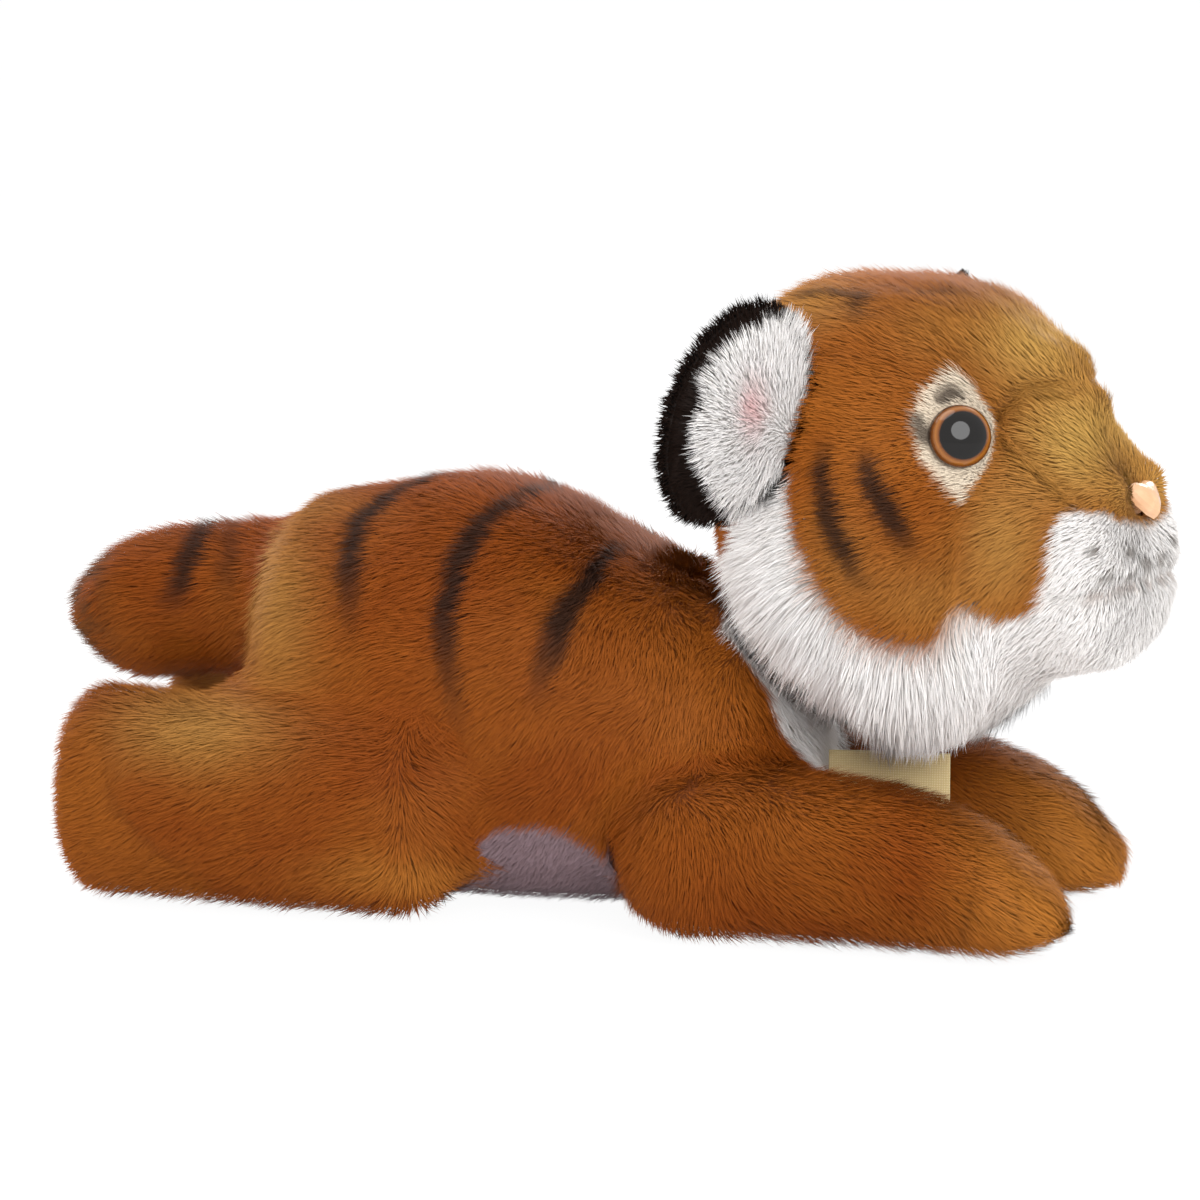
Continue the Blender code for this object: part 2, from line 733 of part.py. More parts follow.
def washer(name, matrix, depth):
    """A flat ring on the shank behind the cover."""
    inner = EYE_SHANK_RADIUS + SEAM_GAP
    rings = []
    for radius, level in (
        (inner, -depth), (WASHER_RADIUS, -depth),
        (WASHER_RADIUS, -depth - WASHER_THICKNESS), (inner, -depth - WASHER_THICKNESS),
    ):
        rings.append([
            matrix @ Vector((
                radius * math.cos(2 * math.pi * j / TURNED_STEPS),
                radius * math.sin(2 * math.pi * j / TURNED_STEPS),
                level,
            ))
            for j in range(TURNED_STEPS)
        ])
    count = TURNED_STEPS
    points = [tuple(p) for ring in rings for p in ring]
    faces = []
    for i in range(len(rings)):
        after = (i + 1) % len(rings)
        for j in range(count):
            k = (j + 1) % count
            faces.append((i * count + j, i * count + k, after * count + k, after * count + j))
    return mesh_of(name, points, faces)


def make_head():
    rows = rows_of(
        HEAD_SHARES, -HEAD_BEHIND_PIVOT, HEAD_LENGTH, -HEAD_BELOW_PIVOT, HEAD_HEIGHT, HEAD_WIDTH
    )
    caps = (HEAD_REAR_CAP, MUZZLE_CAP)
    deep = -HEAD_HEIGHT
    outer = form("head_form", rows, caps, HEAD_RINGS, BODY_POINTS, deep)
    inner = form("head_hollow", rows, caps, HEAD_LINING_RINGS, LINING_POINTS, deep, COVER_THICKNESS)
    hollow = put_cutter("head_hollow", inner, head)

    block_outline = [
        (-HEAD_LENGTH, deep), (-HEAD_LENGTH, HEAD_SEAT_REACH),
        (-HEAD_BACK_REACH, HEAD_SEAT_REACH), (-HEAD_BACK_REACH, deep),
    ]
    block = put_cutter(
        "head_seat_block", prism("head_seat_block", block_outline, "y", -HEAD_WIDTH, HEAD_WIDTH), seat_frame
    )
    cut(block, put_cutter("head_seat_ball", ball("head_seat_ball", HEAD_SEAT_RADIUS, Vector()), seat_frame))

    down_and_back = Matrix.Rotation(NECK_HEADING, 4, "Y")
    neck_profile = [
        (0.0, 0.0), (NECK_HOLE_RADIUS, 0.0),
        (NECK_HOLE_RADIUS, HEAD_LENGTH), (0.0, HEAD_LENGTH),
    ]
    neck = put_cutter("neck_hole", turned("neck_hole", neck_profile, down_and_back), seat_frame)

    def region(name, shares, margin=0.0):
        outline = [on_head((a, 0.0, b), 1).xz for a, b in shares]
        outline += [(outline[-1][0], deep), (outline[0][0], deep)]
        return put_cutter(name, prism(name, grown(outline, margin), "y", -HEAD_WIDTH, HEAD_WIDTH), head)

    ruff_region = region("ruff_region", RUFF_SHARES)
    muzzle_region = region("muzzle_region", MUZZLE_SHARES)
    white_margin = region("white_margin", RUFF_SHARES + MUZZLE_SHARES, SEAM_GAP)

    cover = put("head_cover", outer, head, ORANGE_PLUSH)
    ruff = put("ruff_panel", outer.copy(), head, WHITE_PLUSH)
    muzzle = put("muzzle_panel", outer.copy(), head, WHITE_PLUSH)
    filling_mesh = form(
        "head_stuffing", rows, caps, HEAD_LINING_RINGS, LINING_POINTS, deep,
        COVER_THICKNESS + FILLING_CLEARANCE,
    )
    filling = put("head_filling", filling_mesh, head, FIBRE)
    for obj in (ruff, muzzle):
        obj.data.materials.clear()
        obj.data.materials.append(material(WHITE_PLUSH))
    for obj in (cover, ruff, muzzle):
        cut(obj, hollow, block, neck)
    cut(cover, white_margin)
    cut(ruff, ruff_region, keep=True)
    cut(muzzle, muzzle_region, keep=True)

    depth = EYE_EDGE + COVER_THICKNESS + SOCKET_DEPTH
    for side, suffix in ((1, "left"), (-1, "right")):
        place = on_head(EYE_PLACE_SHARES, side)
        matrix = aim(place, EYE_HEADING, EYE_LIFT, side)
        socket_profile = stud_profile(EYE_RADIUS, EYE_DOME, SEAM_GAP)
        socket = put_cutter("eye_socket_" + suffix, turned("eye_socket", socket_profile, matrix), head)
        boss = put_cutter("eye_boss_" + suffix, turned("eye_boss", boss_profile(), matrix), head)
        patch_profiles = []
        for radius in (EYE_PATCH_RADIUS, EYE_PATCH_RADIUS + SEAM_GAP):
            patch_profiles.append([
                (0.0, -EYE_SHANK_LENGTH), (radius, -EYE_SHANK_LENGTH),
                (radius, OVERRUN), (0.0, OVERRUN),
            ])
        patch_region = put_cutter(
            "eye_patch_region_" + suffix, turned("eye_patch_region", patch_profiles[0], matrix), head
        )
        patch_margin = put_cutter(
            "eye_patch_margin_" + suffix, turned("eye_patch_margin", patch_profiles[1], matrix), head
        )
        patch = put("eye_patch_" + suffix, outer.copy(), head, CREAM_PLUSH)
        patch.data.materials.clear()
        patch.data.materials.append(material(CREAM_PLUSH))
        cut(patch, hollow, socket)
        cut(patch, patch_region, keep=True)
        cut(cover, patch_margin)
        cut(filling, boss)
        eye = turned("eye", stud_profile(EYE_RADIUS, EYE_DOME, 0.0), matrix)
        put("eye_" + suffix, eye, head, EYE_PLASTIC)
        put("eye_washer_" + suffix, washer("eye_washer", matrix, depth), head, WASHER_PLASTIC)

    make_nose(cover, muzzle, filling, depth)
    ear_pockets = [make_ear(side) for side in (1, -1)]
    for obj in (cover, ruff, filling):
        cut(obj, *ear_pockets)


def make_nose(cover, muzzle, filling, depth):
    """A rounded triangular pad on a shank, with a washer behind it."""
    place = on_head(NOSE_PLACE_SHARES, 1)
    matrix = aim(place, 0.0, NOSE_LIFT, 1)

    def triangle(scale, level):
        return [
            matrix @ Vector((a * NOSE_RADIUS * scale, b * NOSE_RADIUS * scale, level))
            for a, b in NOSE_SHARES
        ]

    angles = [2 * math.pi * j / len(NOSE_SHARES) for j in range(len(NOSE_SHARES))]
    shank = []
    for level in (-EYE_SHANK_LENGTH, -EYE_EDGE):
        shank.append([
            matrix @ Vector((EYE_SHANK_RADIUS * math.sin(a), -EYE_SHANK_RADIUS * math.cos(a), level))
            for a in angles
        ])
    rings = shank + [triangle(1, -EYE_EDGE), triangle(1, 0.0)]
    for i in range(1, CAP_RINGS):
        angle = math.pi / 2 * i / CAP_RINGS
        rings.append(triangle(math.cos(angle), NOSE_DOME * math.sin(angle)))
    ends = [matrix @ Vector((0.0, 0.0, level)) for level in (-EYE_SHANK_LENGTH, NOSE_DOME)]
    put("nose", skin("nose", rings, *ends), head, NOSE_PLASTIC)

    margin = 1 + SEAM_GAP / NOSE_RADIUS
    sink = -EYE_EDGE - SEAM_GAP
    recess = skin("nose_recess", [triangle(margin, sink), triangle(margin, OVERRUN)])
    end, wide = -EYE_SHANK_LENGTH - 2 * SEAM_GAP, EYE_SHANK_RADIUS + SEAM_GAP
    hole_profile = [(0.0, end), (wide, end), (wide, 0.0), (0.0, 0.0)]
    recess = put_cutter("nose_recess", recess, head)
    hole = put_cutter("nose_hole", turned("nose_hole", hole_profile, matrix), head)
    cut(cover, recess, hole)
    cut(muzzle, recess, hole)
    cut(filling, put_cutter("nose_boss", turned("nose_boss", boss_profile(), matrix), head))
    put("nose_washer", washer("nose_washer", matrix, depth), head, WASHER_PLASTIC)


# Ears: a black back and a white lining, both on the line where the ear is sewn to the head

def ear_layer(name, length, reach, thickness, facing):
    """Half of a cupped oval lens: its flat face on the other layer, its crown outward.

    In the ear's frame z runs along the sewn line, y out to the rim and x to the front.
    """
    half_length = length / 2
    half_reach = (reach + EAR_ROOT_DEPTH) / 2
    centre = half_reach - EAR_ROOT_DEPTH

    def point(share, angle, lift):
        across = centre + half_reach * share * math.sin(angle)
        along = half_length * share * math.cos(angle)
        bend = EAR_CUP * (max(across, 0.0) / EAR_REACH) ** 2
        return (facing * (SEAM_GAP / 2 + lift) + bend, across, along)

    angles = [2 * math.pi * j / EAR_POINTS for j in range(EAR_POINTS)]
    crown, face = [], []
    for i in range(1, EAR_CIRCLES + 1):
        share = math.sin(math.pi / 2 * i / EAR_CIRCLES)
        edge = thickness * EAR_EDGE_SHARE
        dome = (thickness - edge) * math.sqrt(max(1 - share**2, 0.0))
        crown.append([point(share, angle, edge + dome) for angle in angles])
        face.append([point(share, angle, 0.0) for angle in angles])
    rings = crown + face[::-1]
    return skin(name, rings, point(0, 0, thickness), point(0, 0, 0.0))


def make_ear(side):
    suffix = {1: "left", -1: "right"}[side]
    place = on_head(EAR_PLACE_SHARES, side)
    lean = Matrix.Rotation(EAR_LEAN, 4, "Y")
    roll = Matrix.Rotation(side * EAR_ROLL, 4, "X")
    sweep = Matrix.Rotation(side * EAR_SWEEP, 4, "Z")
    mirror = Matrix.Identity(4)
    mirror[1][1] = side
    hinge = frame("ear_pivot_" + suffix, head, place, lean @ roll @ sweep)
    room = bmesh.new()
    for name, length, reach, thickness, facing, spec in (
        ("ear_back_", EAR_LENGTH, EAR_REACH, EAR_BACK_THICKNESS, -1, BLACK_PLUSH),
        (
            "ear_lining_", EAR_LENGTH - 2 * EAR_RIM, EAR_REACH - EAR_RIM,
            EAR_LINING_THICKNESS, 1, WHITE_PLUSH,
        ),
    ):
        mesh = ear_layer(name + suffix, length, reach, thickness, facing)
        mesh.transform(mirror)
        if side < 0:
            mesh.flip_normals()
        put(name + suffix, mesh, hinge, spec)
        for vertex in mesh.vertices:
            room.verts.new(vertex.co + vertex.normal * SEAM_GAP)
    loose = bpy.data.meshes.new("ear_room_" + suffix)
    room.to_mesh(loose)
    room.free()
    pocket = swept("ear_pocket_" + suffix, loose, -EAR_SWING, EAR_SWING)
    return put_cutter("ear_pocket_" + suffix, pocket, hinge)


def centre_on_footprint():
    """Moves the whole toy so that the middle of its box stands over the origin."""
    bpy.context.view_layer.update()
    graph = bpy.context.evaluated_depsgraph_get()
    corners = []
    for obj in bpy.data.objects:
        if obj.type != "MESH" or obj.hide_render:
            continue
        shown = obj.evaluated_get(graph)
        corners += [shown.matrix_world @ v.co for v in shown.data.vertices]
    for axis in (0, 1):
        values = [corner[axis] for corner in corners]
        root.location[axis] -= (min(values) + max(values)) / 2


clear_scene()
root = frame("tiger", None, Vector())
seat_frame = frame("head_seat_frame", root, Vector((TORSO_FRONT + HEAD_AHEAD_OF_CHEST, 0.0, HEAD_LEVEL)))
head = frame("head_pivot", seat_frame, Vector(), Matrix.Rotation(-HEAD_TURN, 4, "Z"))
make_torso(make_limbs())
make_label()
make_head()
centre_on_footprint()
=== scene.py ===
"""The looks of a plush tiger that lies on its belly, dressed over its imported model."""

import math

import bmesh
import bpy
import numpy as np
from mathutils import Matrix, Vector, noise
from mathutils.bvhtree import BVHTree


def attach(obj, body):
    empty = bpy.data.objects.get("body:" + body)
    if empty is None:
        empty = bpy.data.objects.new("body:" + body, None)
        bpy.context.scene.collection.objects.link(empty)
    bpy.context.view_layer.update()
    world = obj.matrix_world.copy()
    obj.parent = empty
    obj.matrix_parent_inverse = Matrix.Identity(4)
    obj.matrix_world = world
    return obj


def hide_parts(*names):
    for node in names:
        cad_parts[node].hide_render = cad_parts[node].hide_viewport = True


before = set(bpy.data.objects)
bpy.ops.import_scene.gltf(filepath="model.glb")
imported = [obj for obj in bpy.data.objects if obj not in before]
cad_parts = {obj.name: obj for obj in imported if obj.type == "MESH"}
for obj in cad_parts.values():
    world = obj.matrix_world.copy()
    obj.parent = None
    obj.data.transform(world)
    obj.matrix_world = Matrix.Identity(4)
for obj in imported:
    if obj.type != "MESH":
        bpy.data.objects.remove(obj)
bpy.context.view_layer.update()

# The studio: a white sweep under the toy, a broad soft lamp on the camera's side of it, weaker
# ones above, behind and beyond it, and pale air all round. The camera stands to the toy's right,
# a little ahead of it and above it.

SIGHT_AZIMUTH = math.radians(17)
SIGHT_ELEVATION = math.radians(9)
SIGHT_DISTANCE = 1.2
SIGHT_TARGET = Vector((-0.0016, -0.00756, 0.0755))
FRAME_SPAN = 0.3
FRAME_PIXELS = 1200
PIXEL = FRAME_SPAN / FRAME_PIXELS
SENSOR = 36.0
SWEEP_GLOW = 1.06
SWEEP_GLOW_SHARE = 0.90
AIR_STRENGTH = 0.55
PURE_WHITE = (1.0, 1.0, 1.0, 1.0)
LAMPS = {
    "key_lamp": ((0.55, -0.85, 0.62), (0.05, 0.0, 0.08), 0.9, 10.0),
    "top_lamp": ((-0.35, -0.10, 1.10), (0.0, 0.0, 0.06), 0.8, 3.6),
    "rear_lamp": ((-0.80, 0.20, 0.55), (0.0, 0.0, 0.07), 0.7, 4.5),
    "far_lamp": ((0.10, 0.95, 0.65), (0.0, 0.0, 0.07), 0.8, 7.0),
}


def linked(name, data):
    obj = bpy.data.objects.new(name, data)
    bpy.context.scene.collection.objects.link(obj)
    return obj


sight_back = Vector((
    math.sin(SIGHT_AZIMUTH) * math.cos(SIGHT_ELEVATION),
    -math.cos(SIGHT_AZIMUTH) * math.cos(SIGHT_ELEVATION),
    math.sin(SIGHT_ELEVATION),
))
sight_right = Vector((math.cos(SIGHT_AZIMUTH), math.sin(SIGHT_AZIMUTH), 0.0))
sight_up = sight_back.cross(sight_right)
sight_place = SIGHT_TARGET + sight_back * SIGHT_DISTANCE

camera_data = bpy.data.cameras.new("camera")
camera_data.sensor_width = SENSOR
camera_data.lens = SENSOR * SIGHT_DISTANCE / FRAME_SPAN
camera_data.clip_start, camera_data.clip_end = 0.05, 20.0
camera = linked("camera", camera_data)
camera.matrix_world = (
    Matrix.Translation(sight_place)
    @ Matrix((sight_right, sight_up, sight_back)).transposed().to_4x4()
)
bpy.context.scene.camera = camera


class Wire:
    """A value in a material; sums and products of it add their own nodes."""

    def __init__(self, finish, socket):
        self.finish, self.socket = finish, socket

    def maths(self, operation, first, second):
        return self.finish.wire("ShaderNodeMath", {"operation": operation}, {0: first, 1: second})

    def __add__(self, other):
        return self.maths("ADD", self, other)

    __radd__ = __add__

    def __mul__(self, other):
        return self.maths("MULTIPLY", self, other)

    def __sub__(self, other):
        return self.maths("SUBTRACT", self, other)

    def __rsub__(self, other):
        return self.maths("SUBTRACT", other, self)


class Finish:
    """A material built node by node round its Principled shader."""

    def __init__(self, name, **values):
        self.material = bpy.data.materials.new(name)
        self.material.use_nodes = True
        self.tree = self.material.node_tree
        self.shader = self.tree.nodes["Principled BSDF"]
        self.shade(**values)

    def node(self, kind, settings, values):
        made = self.tree.nodes.new(kind)
        for key, value in settings.items():
            if key == "stops":
                for extra in value[2:]:
                    made.color_ramp.elements.new(extra[0])
                for stop, (place, colour) in zip(made.color_ramp.elements, value):
                    stop.position, stop.color = place, (*colour, 1.0)
            else:
                setattr(made, key, value)
        for key, value in values.items():
            self.feed(made.inputs[key], value)
        return made

    def wire(self, kind, settings, values, output=0):
        return Wire(self, self.node(kind, settings, values).outputs[output])

    def feed(self, socket, value):
        if isinstance(value, Wire):
            self.tree.links.new(value.socket, socket)
        else:
            socket.default_value = value

    def shade(self, **values):
        for key, value in values.items():
            self.feed(self.shader.inputs[key.replace("_", " ")], value)

    def attribute(self, name, output=0):
        return self.wire("ShaderNodeAttribute", {"attribute_name": name}, {}, output)

    def places(self):
        return self.wire("ShaderNodeTexCoord", {}, {}, "Object")

    def mix(self, amount, low, high, blend="MIX"):
        return self.wire(
            "ShaderNodeMix", {"data_type": "RGBA", "blend_type": blend},
            {0: amount, 6: low, 7: high}, 2,
        )

    def grain(self, scale, detail, at=None):
        return self.wire("ShaderNodeTexNoise", {}, {
            "Vector": at or self.places(), "Scale": scale, "Detail": detail,
        })

    def bumped(self, height, strength, distance):
        normal = self.wire(
            "ShaderNodeBump", {}, {"Strength": strength, "Distance": distance, "Height": height}
        )
        self.shade(Normal=normal)


def linear(*values):
    """A colour given as on a screen, from 0 to 255, as the shaders take it."""
    share = [value / 255 for value in values]
    return tuple(v / 12.92 if v <= 0.04045 else ((v + 0.055) / 1.055) ** 2.4 for v in share)


def sweep():
    """A floor that curves up far behind the toy."""
    rows = [(-3.0, 0.0), (2.2, 0.0), (2.9, 0.06), (3.4, 0.3), (3.7, 0.8), (3.8, 2.5)]
    points = [(x, y, z) for y, z in rows for x in (-4.0, 4.0)]
    faces = [(2 * i, 2 * i + 1, 2 * i + 3, 2 * i + 2) for i in range(len(rows) - 1)]
    mesh = bpy.data.meshes.new("sweep")
    mesh.from_pydata(points, [], faces)
    finish = Finish("white_sweep", Base_Color=(0.90, 0.90, 0.90, 1.0), Roughness=0.9)
    rays = finish.node("ShaderNodeLightPath", {}, {})
    seen = Wire(finish, rays.outputs["Is Camera Ray"]) + Wire(finish, rays.outputs["Is Glossy Ray"])
    glow = finish.wire("ShaderNodeEmission", {}, {"Color": PURE_WHITE, "Strength": SWEEP_GLOW})
    plain = Wire(finish, finish.shader.outputs[0])
    both = finish.wire("ShaderNodeMixShader", {}, {0: seen * SWEEP_GLOW_SHARE, 1: plain, 2: glow})
    finish.feed(finish.tree.nodes["Material Output"].inputs["Surface"], both)
    mesh.materials.append(finish.material)
    floor = linked("sweep", mesh)


sweep()
for name, (place, aim, size, power) in LAMPS.items():
    data = bpy.data.lights.new(name, "AREA")
    data.shape, data.size, data.energy = "DISK", size, power
    lamp = linked(name, data)
    lamp.location = place
    lamp.rotation_euler = (Vector(aim) - Vector(place)).to_track_quat("-Z", "Y").to_euler()
world = bpy.data.worlds.new("pale_air")
bpy.context.scene.world = world
world.use_nodes = True
air = world.node_tree
pale, backdrop = air.nodes["Background"], air.nodes.new("ShaderNodeBackground")
for background, strength in ((pale, AIR_STRENGTH), (backdrop, 1.0)):
    background.inputs["Color"].default_value = PURE_WHITE
    background.inputs["Strength"].default_value = strength
rays = air.nodes.new("ShaderNodeLightPath").outputs
seen = air.nodes.new("ShaderNodeMath")
either = air.nodes.new("ShaderNodeMixShader")
for source, socket in (
    (rays["Is Camera Ray"], seen.inputs[0]), (rays["Is Glossy Ray"], seen.inputs[1]),
    (seen.outputs[0], either.inputs[0]), (pale.outputs[0], either.inputs[1]),
    (backdrop.outputs[0], either.inputs[2]),
    (either.outputs[0], air.nodes["World Output"].inputs["Surface"]),
):
    air.links.new(source, socket)
bpy.context.scene.view_settings.view_transform = "Standard"

# The skin of the body: torso, legs and tail are sewn together, so their outsides run into one
# another. One skin is drawn over them all, its creases eased, and each stuffed piece takes its
# own share of it further on.

SKIN_VOXEL = 0.0020
CREASE_RADIUS = 0.0070
FORM_VOXEL = 0.0016
FORM_ROUNDS = 4
SKIN_HOLD = (0.009, 0.012)
TORSO_NODES = ["torso_cover", "belly_panel", "chest_panel", "torso_filling", "pellet_bag"]
LEG_NODES = {
    "front_leg": ["front_leg_{}_cover", "front_leg_{}_filling"],
    "hind_leg": ["hind_leg_{}_cover", "hind_leg_{}_filling", "hind_sole_{}"],
}
TAIL_NODES = ["tail_cover", "tail_filling"]


def applied(obj):
    """The mesh that the object's modifiers make of it. The modifiers are taken off."""
    graph = bpy.context.evaluated_depsgraph_get()
    mesh = bpy.data.meshes.new_from_object(obj.evaluated_get(graph))
    obj.modifiers.clear()
    return mesh


def remeshed(obj, voxel):
    """The object's mesh drawn again on a grid, its outermost island alone."""
    fuse = obj.modifiers.new("fuse", "REMESH")
    fuse.mode = "VOXEL"
    fuse.voxel_size = voxel
    made = applied(obj)
    shape = bmesh.new()
    shape.from_mesh(made)
    keep_largest(shape)
    for face in shape.faces:
        face.smooth = True
    shape.to_mesh(obj.data)
    shape.free()
    bpy.data.meshes.remove(made)


def keep_largest(shape):
    """Drops every island of the mesh but the one that reaches furthest."""
    left, islands = set(shape.verts), []
    while left:
        island = [left.pop()]
        for vertex in island:
            beyond = {edge.other_vert(vertex) for edge in vertex.link_edges} & left
            left -= beyond
            island.extend(beyond)
        islands.append(island)
    islands.sort(key=lambda verts: max(v.co.x for v in verts) - min(v.co.x for v in verts))
    bmesh.ops.delete(shape, geom=[v for island in islands[:-1] for v in island], context="VERTS")


def rows(items, key, width=3, kind=np.float32):
    """One value of each vertex, edge or corner of a mesh, as the rows of an array."""
    values = np.empty(len(items) * width, kind)
    items.foreach_get(key, values)
    return values.reshape(-1, width)


def places(obj):
    """The vertices of a form and their normals, as two arrays."""
    vertices = obj.data.vertices
    return rows(vertices, "co").astype(float), rows(vertices, "normal").astype(float)


def smoothed(mesh):
    mesh.polygons.foreach_set("use_smooth", np.ones(len(mesh.polygons), bool))


def moved(obj, spots):
    obj.data.vertices.foreach_set("co", spots.astype(np.float32).ravel())
    obj.data.update()


def eased(obj, rounds):
    """Evens out a form: each vertex goes half of the way to the middle of its neighbours."""
    spots = places(obj)[0]
    edges = rows(obj.data.edges, "vertices", 2, np.int32)
    degree = np.maximum(np.bincount(edges.ravel(), minlength=len(spots)), 1)
    for _ in range(rounds):
        total = np.zeros_like(spots)
        np.add.at(total, edges[:, 0], spots[edges[:, 1]])
        np.add.at(total, edges[:, 1], spots[edges[:, 0]])
        spots += 0.5 * (total / degree[:, None] - spots)
    moved(obj, spots)


def fused(name, nodes, voxel, rounds):
    """The nodes' outer surfaces as one closed form."""
    shape = bmesh.new()
    for node in nodes:
        shape.from_mesh(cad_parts[node].data)
    bmesh.ops.remove_doubles(shape, verts=shape.verts, dist=0.00001)
    mesh = bpy.data.meshes.new(name)
    shape.to_mesh(mesh)
    shape.free()
    obj = linked(name, mesh)
    remeshed(obj, voxel)
    eased(obj, rounds)
    return obj


def swollen(obj, by):
    spots, normals = places(obj)
    moved(obj, spots + normals * by)


def nearest(tree, spots):
    """For each place: the nearest place on a surface, that surface's normal, and how far it is."""
    found = [tree.find_nearest(Vector(p)) for p in spots]
    return tuple(np.array([f[part] for f in found]) for part in (0, 1, 3))


def soft(value, low, high):
    share = np.clip((value - low) / (high - low), 0.0, 1.0)
    return share * share * (3 - 2 * share)


def unit(vectors):
    return vectors / np.maximum(np.linalg.norm(vectors, axis=1), 1e-9)[:, None]


def drawn_skin(nodes):
    """One skin over several stuffed pieces, its creases filled to their radius."""
    skin = fused("skin", nodes, SKIN_VOXEL, 1)
    swollen(skin, CREASE_RADIUS)
    remeshed(skin, SKIN_VOXEL)
    swollen(skin, -CREASE_RADIUS)
    eased(skin, FORM_ROUNDS)
    tree = BVHTree.FromObject(skin, bpy.context.evaluated_depsgraph_get())
    bpy.data.objects.remove(skin)
    return tree


leg_nodes = [
    node.format(side) for kind in LEG_NODES.values() for node in kind for side in ("left", "right")
]
leg_skin = drawn_skin(TORSO_NODES + leg_nodes)
tail_skin = drawn_skin(TORSO_NODES + TAIL_NODES)


def skinned(name, nodes, skins):
    """A stuffed piece's form, drawn onto the skins where it is near them; the way that its
    surface faces; and how much of it shows."""
    form = fused(name, nodes, FORM_VOXEL, FORM_ROUNDS)
    spots, normals = places(form)
    onto, facing, gap = nearest(skins[0], spots)
    for skin in skins[1:]:
        other_onto, other_facing, other_gap = nearest(skin, spots)
        deeper = other_gap > gap
        onto[deeper], facing[deeper], gap[deeper] = (
            other_onto[deeper], other_facing[deeper], other_gap[deeper]
        )
    hold = 1 - soft(gap, *SKIN_HOLD)
    moved(form, spots + (onto - spots) * hold[:, None])
    facing = unit(facing * hold[:, None] + normals * (1 - hold[:, None]))
    return form, facing, hold * soft((facing * normals).sum(1), -0.6, -0.1)


# The plush: polyester pile fabric, cut in panels, sewn and turned. Each stuffed piece gets the
# panel's backing as one padded form, and the pile as hairs that stand on it and lie the way
# that it was brushed. Colours are dyed and airbrushed into the pile, with painted light and shade.

HAIR_WIDTH = 0.00024
HAIR_STAND = 0.48
HAIR_STRAY = 0.22
TUFT_LEAN = 0.5
TUFT_SIZE = 170.0
PILE_SHARE = 0.88
HAIRS = 5.6e6
BAKE_SPOT = 0.0016
MIDDLE = -0.00756
NOTE_KINDS = {1: ("FLOAT", "value"), 3: ("FLOAT_VECTOR", "vector"), 4: ("FLOAT_COLOR", "color")}


def pictured(spots):
    """Where places come in the camera's frame, in its 1200 pixels."""
    away = spots - np.array(sight_place)
    scale = SIGHT_DISTANCE / -(away @ np.array(sight_back)) / PIXEL
    return np.stack([
        FRAME_PIXELS / 2 + away @ np.array(sight_right) * scale,
        FRAME_PIXELS / 2 - away @ np.array(sight_up) * scale,
    ], axis=1)


def sighted(obj, marks):
    """Marks in the camera's frame, in its 1200 pixels, as places on the form behind them."""
    tree = BVHTree.FromObject(obj, bpy.context.evaluated_depsgraph_get())
    found = []
    for across, down in marks:
        way = (
            sight_right * ((across - FRAME_PIXELS / 2) * PIXEL)
            + sight_up * ((FRAME_PIXELS / 2 - down) * PIXEL)
            - sight_back * SIGHT_DISTANCE
        ).normalized()
        hit = tree.ray_cast(sight_place, way)[0]
        if hit is None:
            hit = tree.find_nearest(sight_place + way * SIGHT_DISTANCE)[0]
        found.append(np.array(hit))
    return np.array(found)


def near_side(spots):
    """Places on the far side moved to the side seen, as in a mirror."""
    made = spots.copy()
    made[:, 1] = MIDDLE - np.abs(spots[:, 1] - MIDDLE)
    return made


def reach(spots, path):
    """The distance from each place to a path, and how far along the path that is, from 0 to 1."""
    best = np.full(len(spots), 1e9)
    along = np.zeros(len(spots))
    lengths = np.linalg.norm(np.diff(path, axis=0), axis=1)
    total = max(lengths.sum(), 1e-9)
    done = 0.0
    for start, end, length in zip(path[:-1], path[1:], lengths):
        line = end - start
        share = np.clip(((spots - start) @ line) / max(line @ line, 1e-12), 0.0, 1.0)
        gap = np.linalg.norm(spots - (start + share[:, None] * line), axis=1)
        nearer = gap < best
        best[nearer] = gap[nearer]
        along[nearer] = (done + share[nearer] * length) / total
        done += length
    return best, along


def zone(pixels, outline, fade):
    """1 inside an outline in the camera's frame, 0 outside it, softened over a few pixels."""
    outline = np.array(outline, float)
    ring = np.vstack([outline, outline[:1]])
    gap, _ = reach(pixels, ring)
    inside = np.zeros(len(pixels), bool)
    for (x0, y0), (x1, y1) in zip(ring[:-1], ring[1:]):
        crosses = (y0 > pixels[:, 1]) != (y1 > pixels[:, 1])
        x = x0 + (pixels[:, 1] - y0) / ((y1 - y0) or 1e-12) * (x1 - x0)
        inside ^= crosses & (pixels[:, 0] < x)
    return soft(np.where(inside, gap, -gap), -fade, fade)


def blot(pixels, middle, wide, high, strength):
    """A soft round patch in the camera's frame."""
    away = (pixels - np.array(middle)) / np.array([wide, high])
    return strength * np.exp(-(away * away).sum(1))


def cloudy(spots, size, seed):
    """Slow variation over a form, about -1 to 1."""
    return np.array([noise.noise(Vector(p / size) + Vector((seed, 0.0, 0.0))) for p in spots])


def stroke(spots, path, width, start, end, ragged=0.0):
    """A soft line along a path: 1 on it, softening past its width and at its ends."""
    gap, along = reach(spots, path)
    swell = 0.55 + 0.45 * np.sin(np.pi * np.clip(along, 0, 1)) ** 0.7
    taper = soft(along, -0.02, start) * (1 - soft(along, 1 - end, 1.0))
    edge = width * swell
    return (1 - soft(gap + ragged, edge * 0.45, edge * 1.3)) * taper


def blended(colours, colour, amount):
    return colours * (1 - amount[:, None]) + np.array(colour) * amount[:, None]


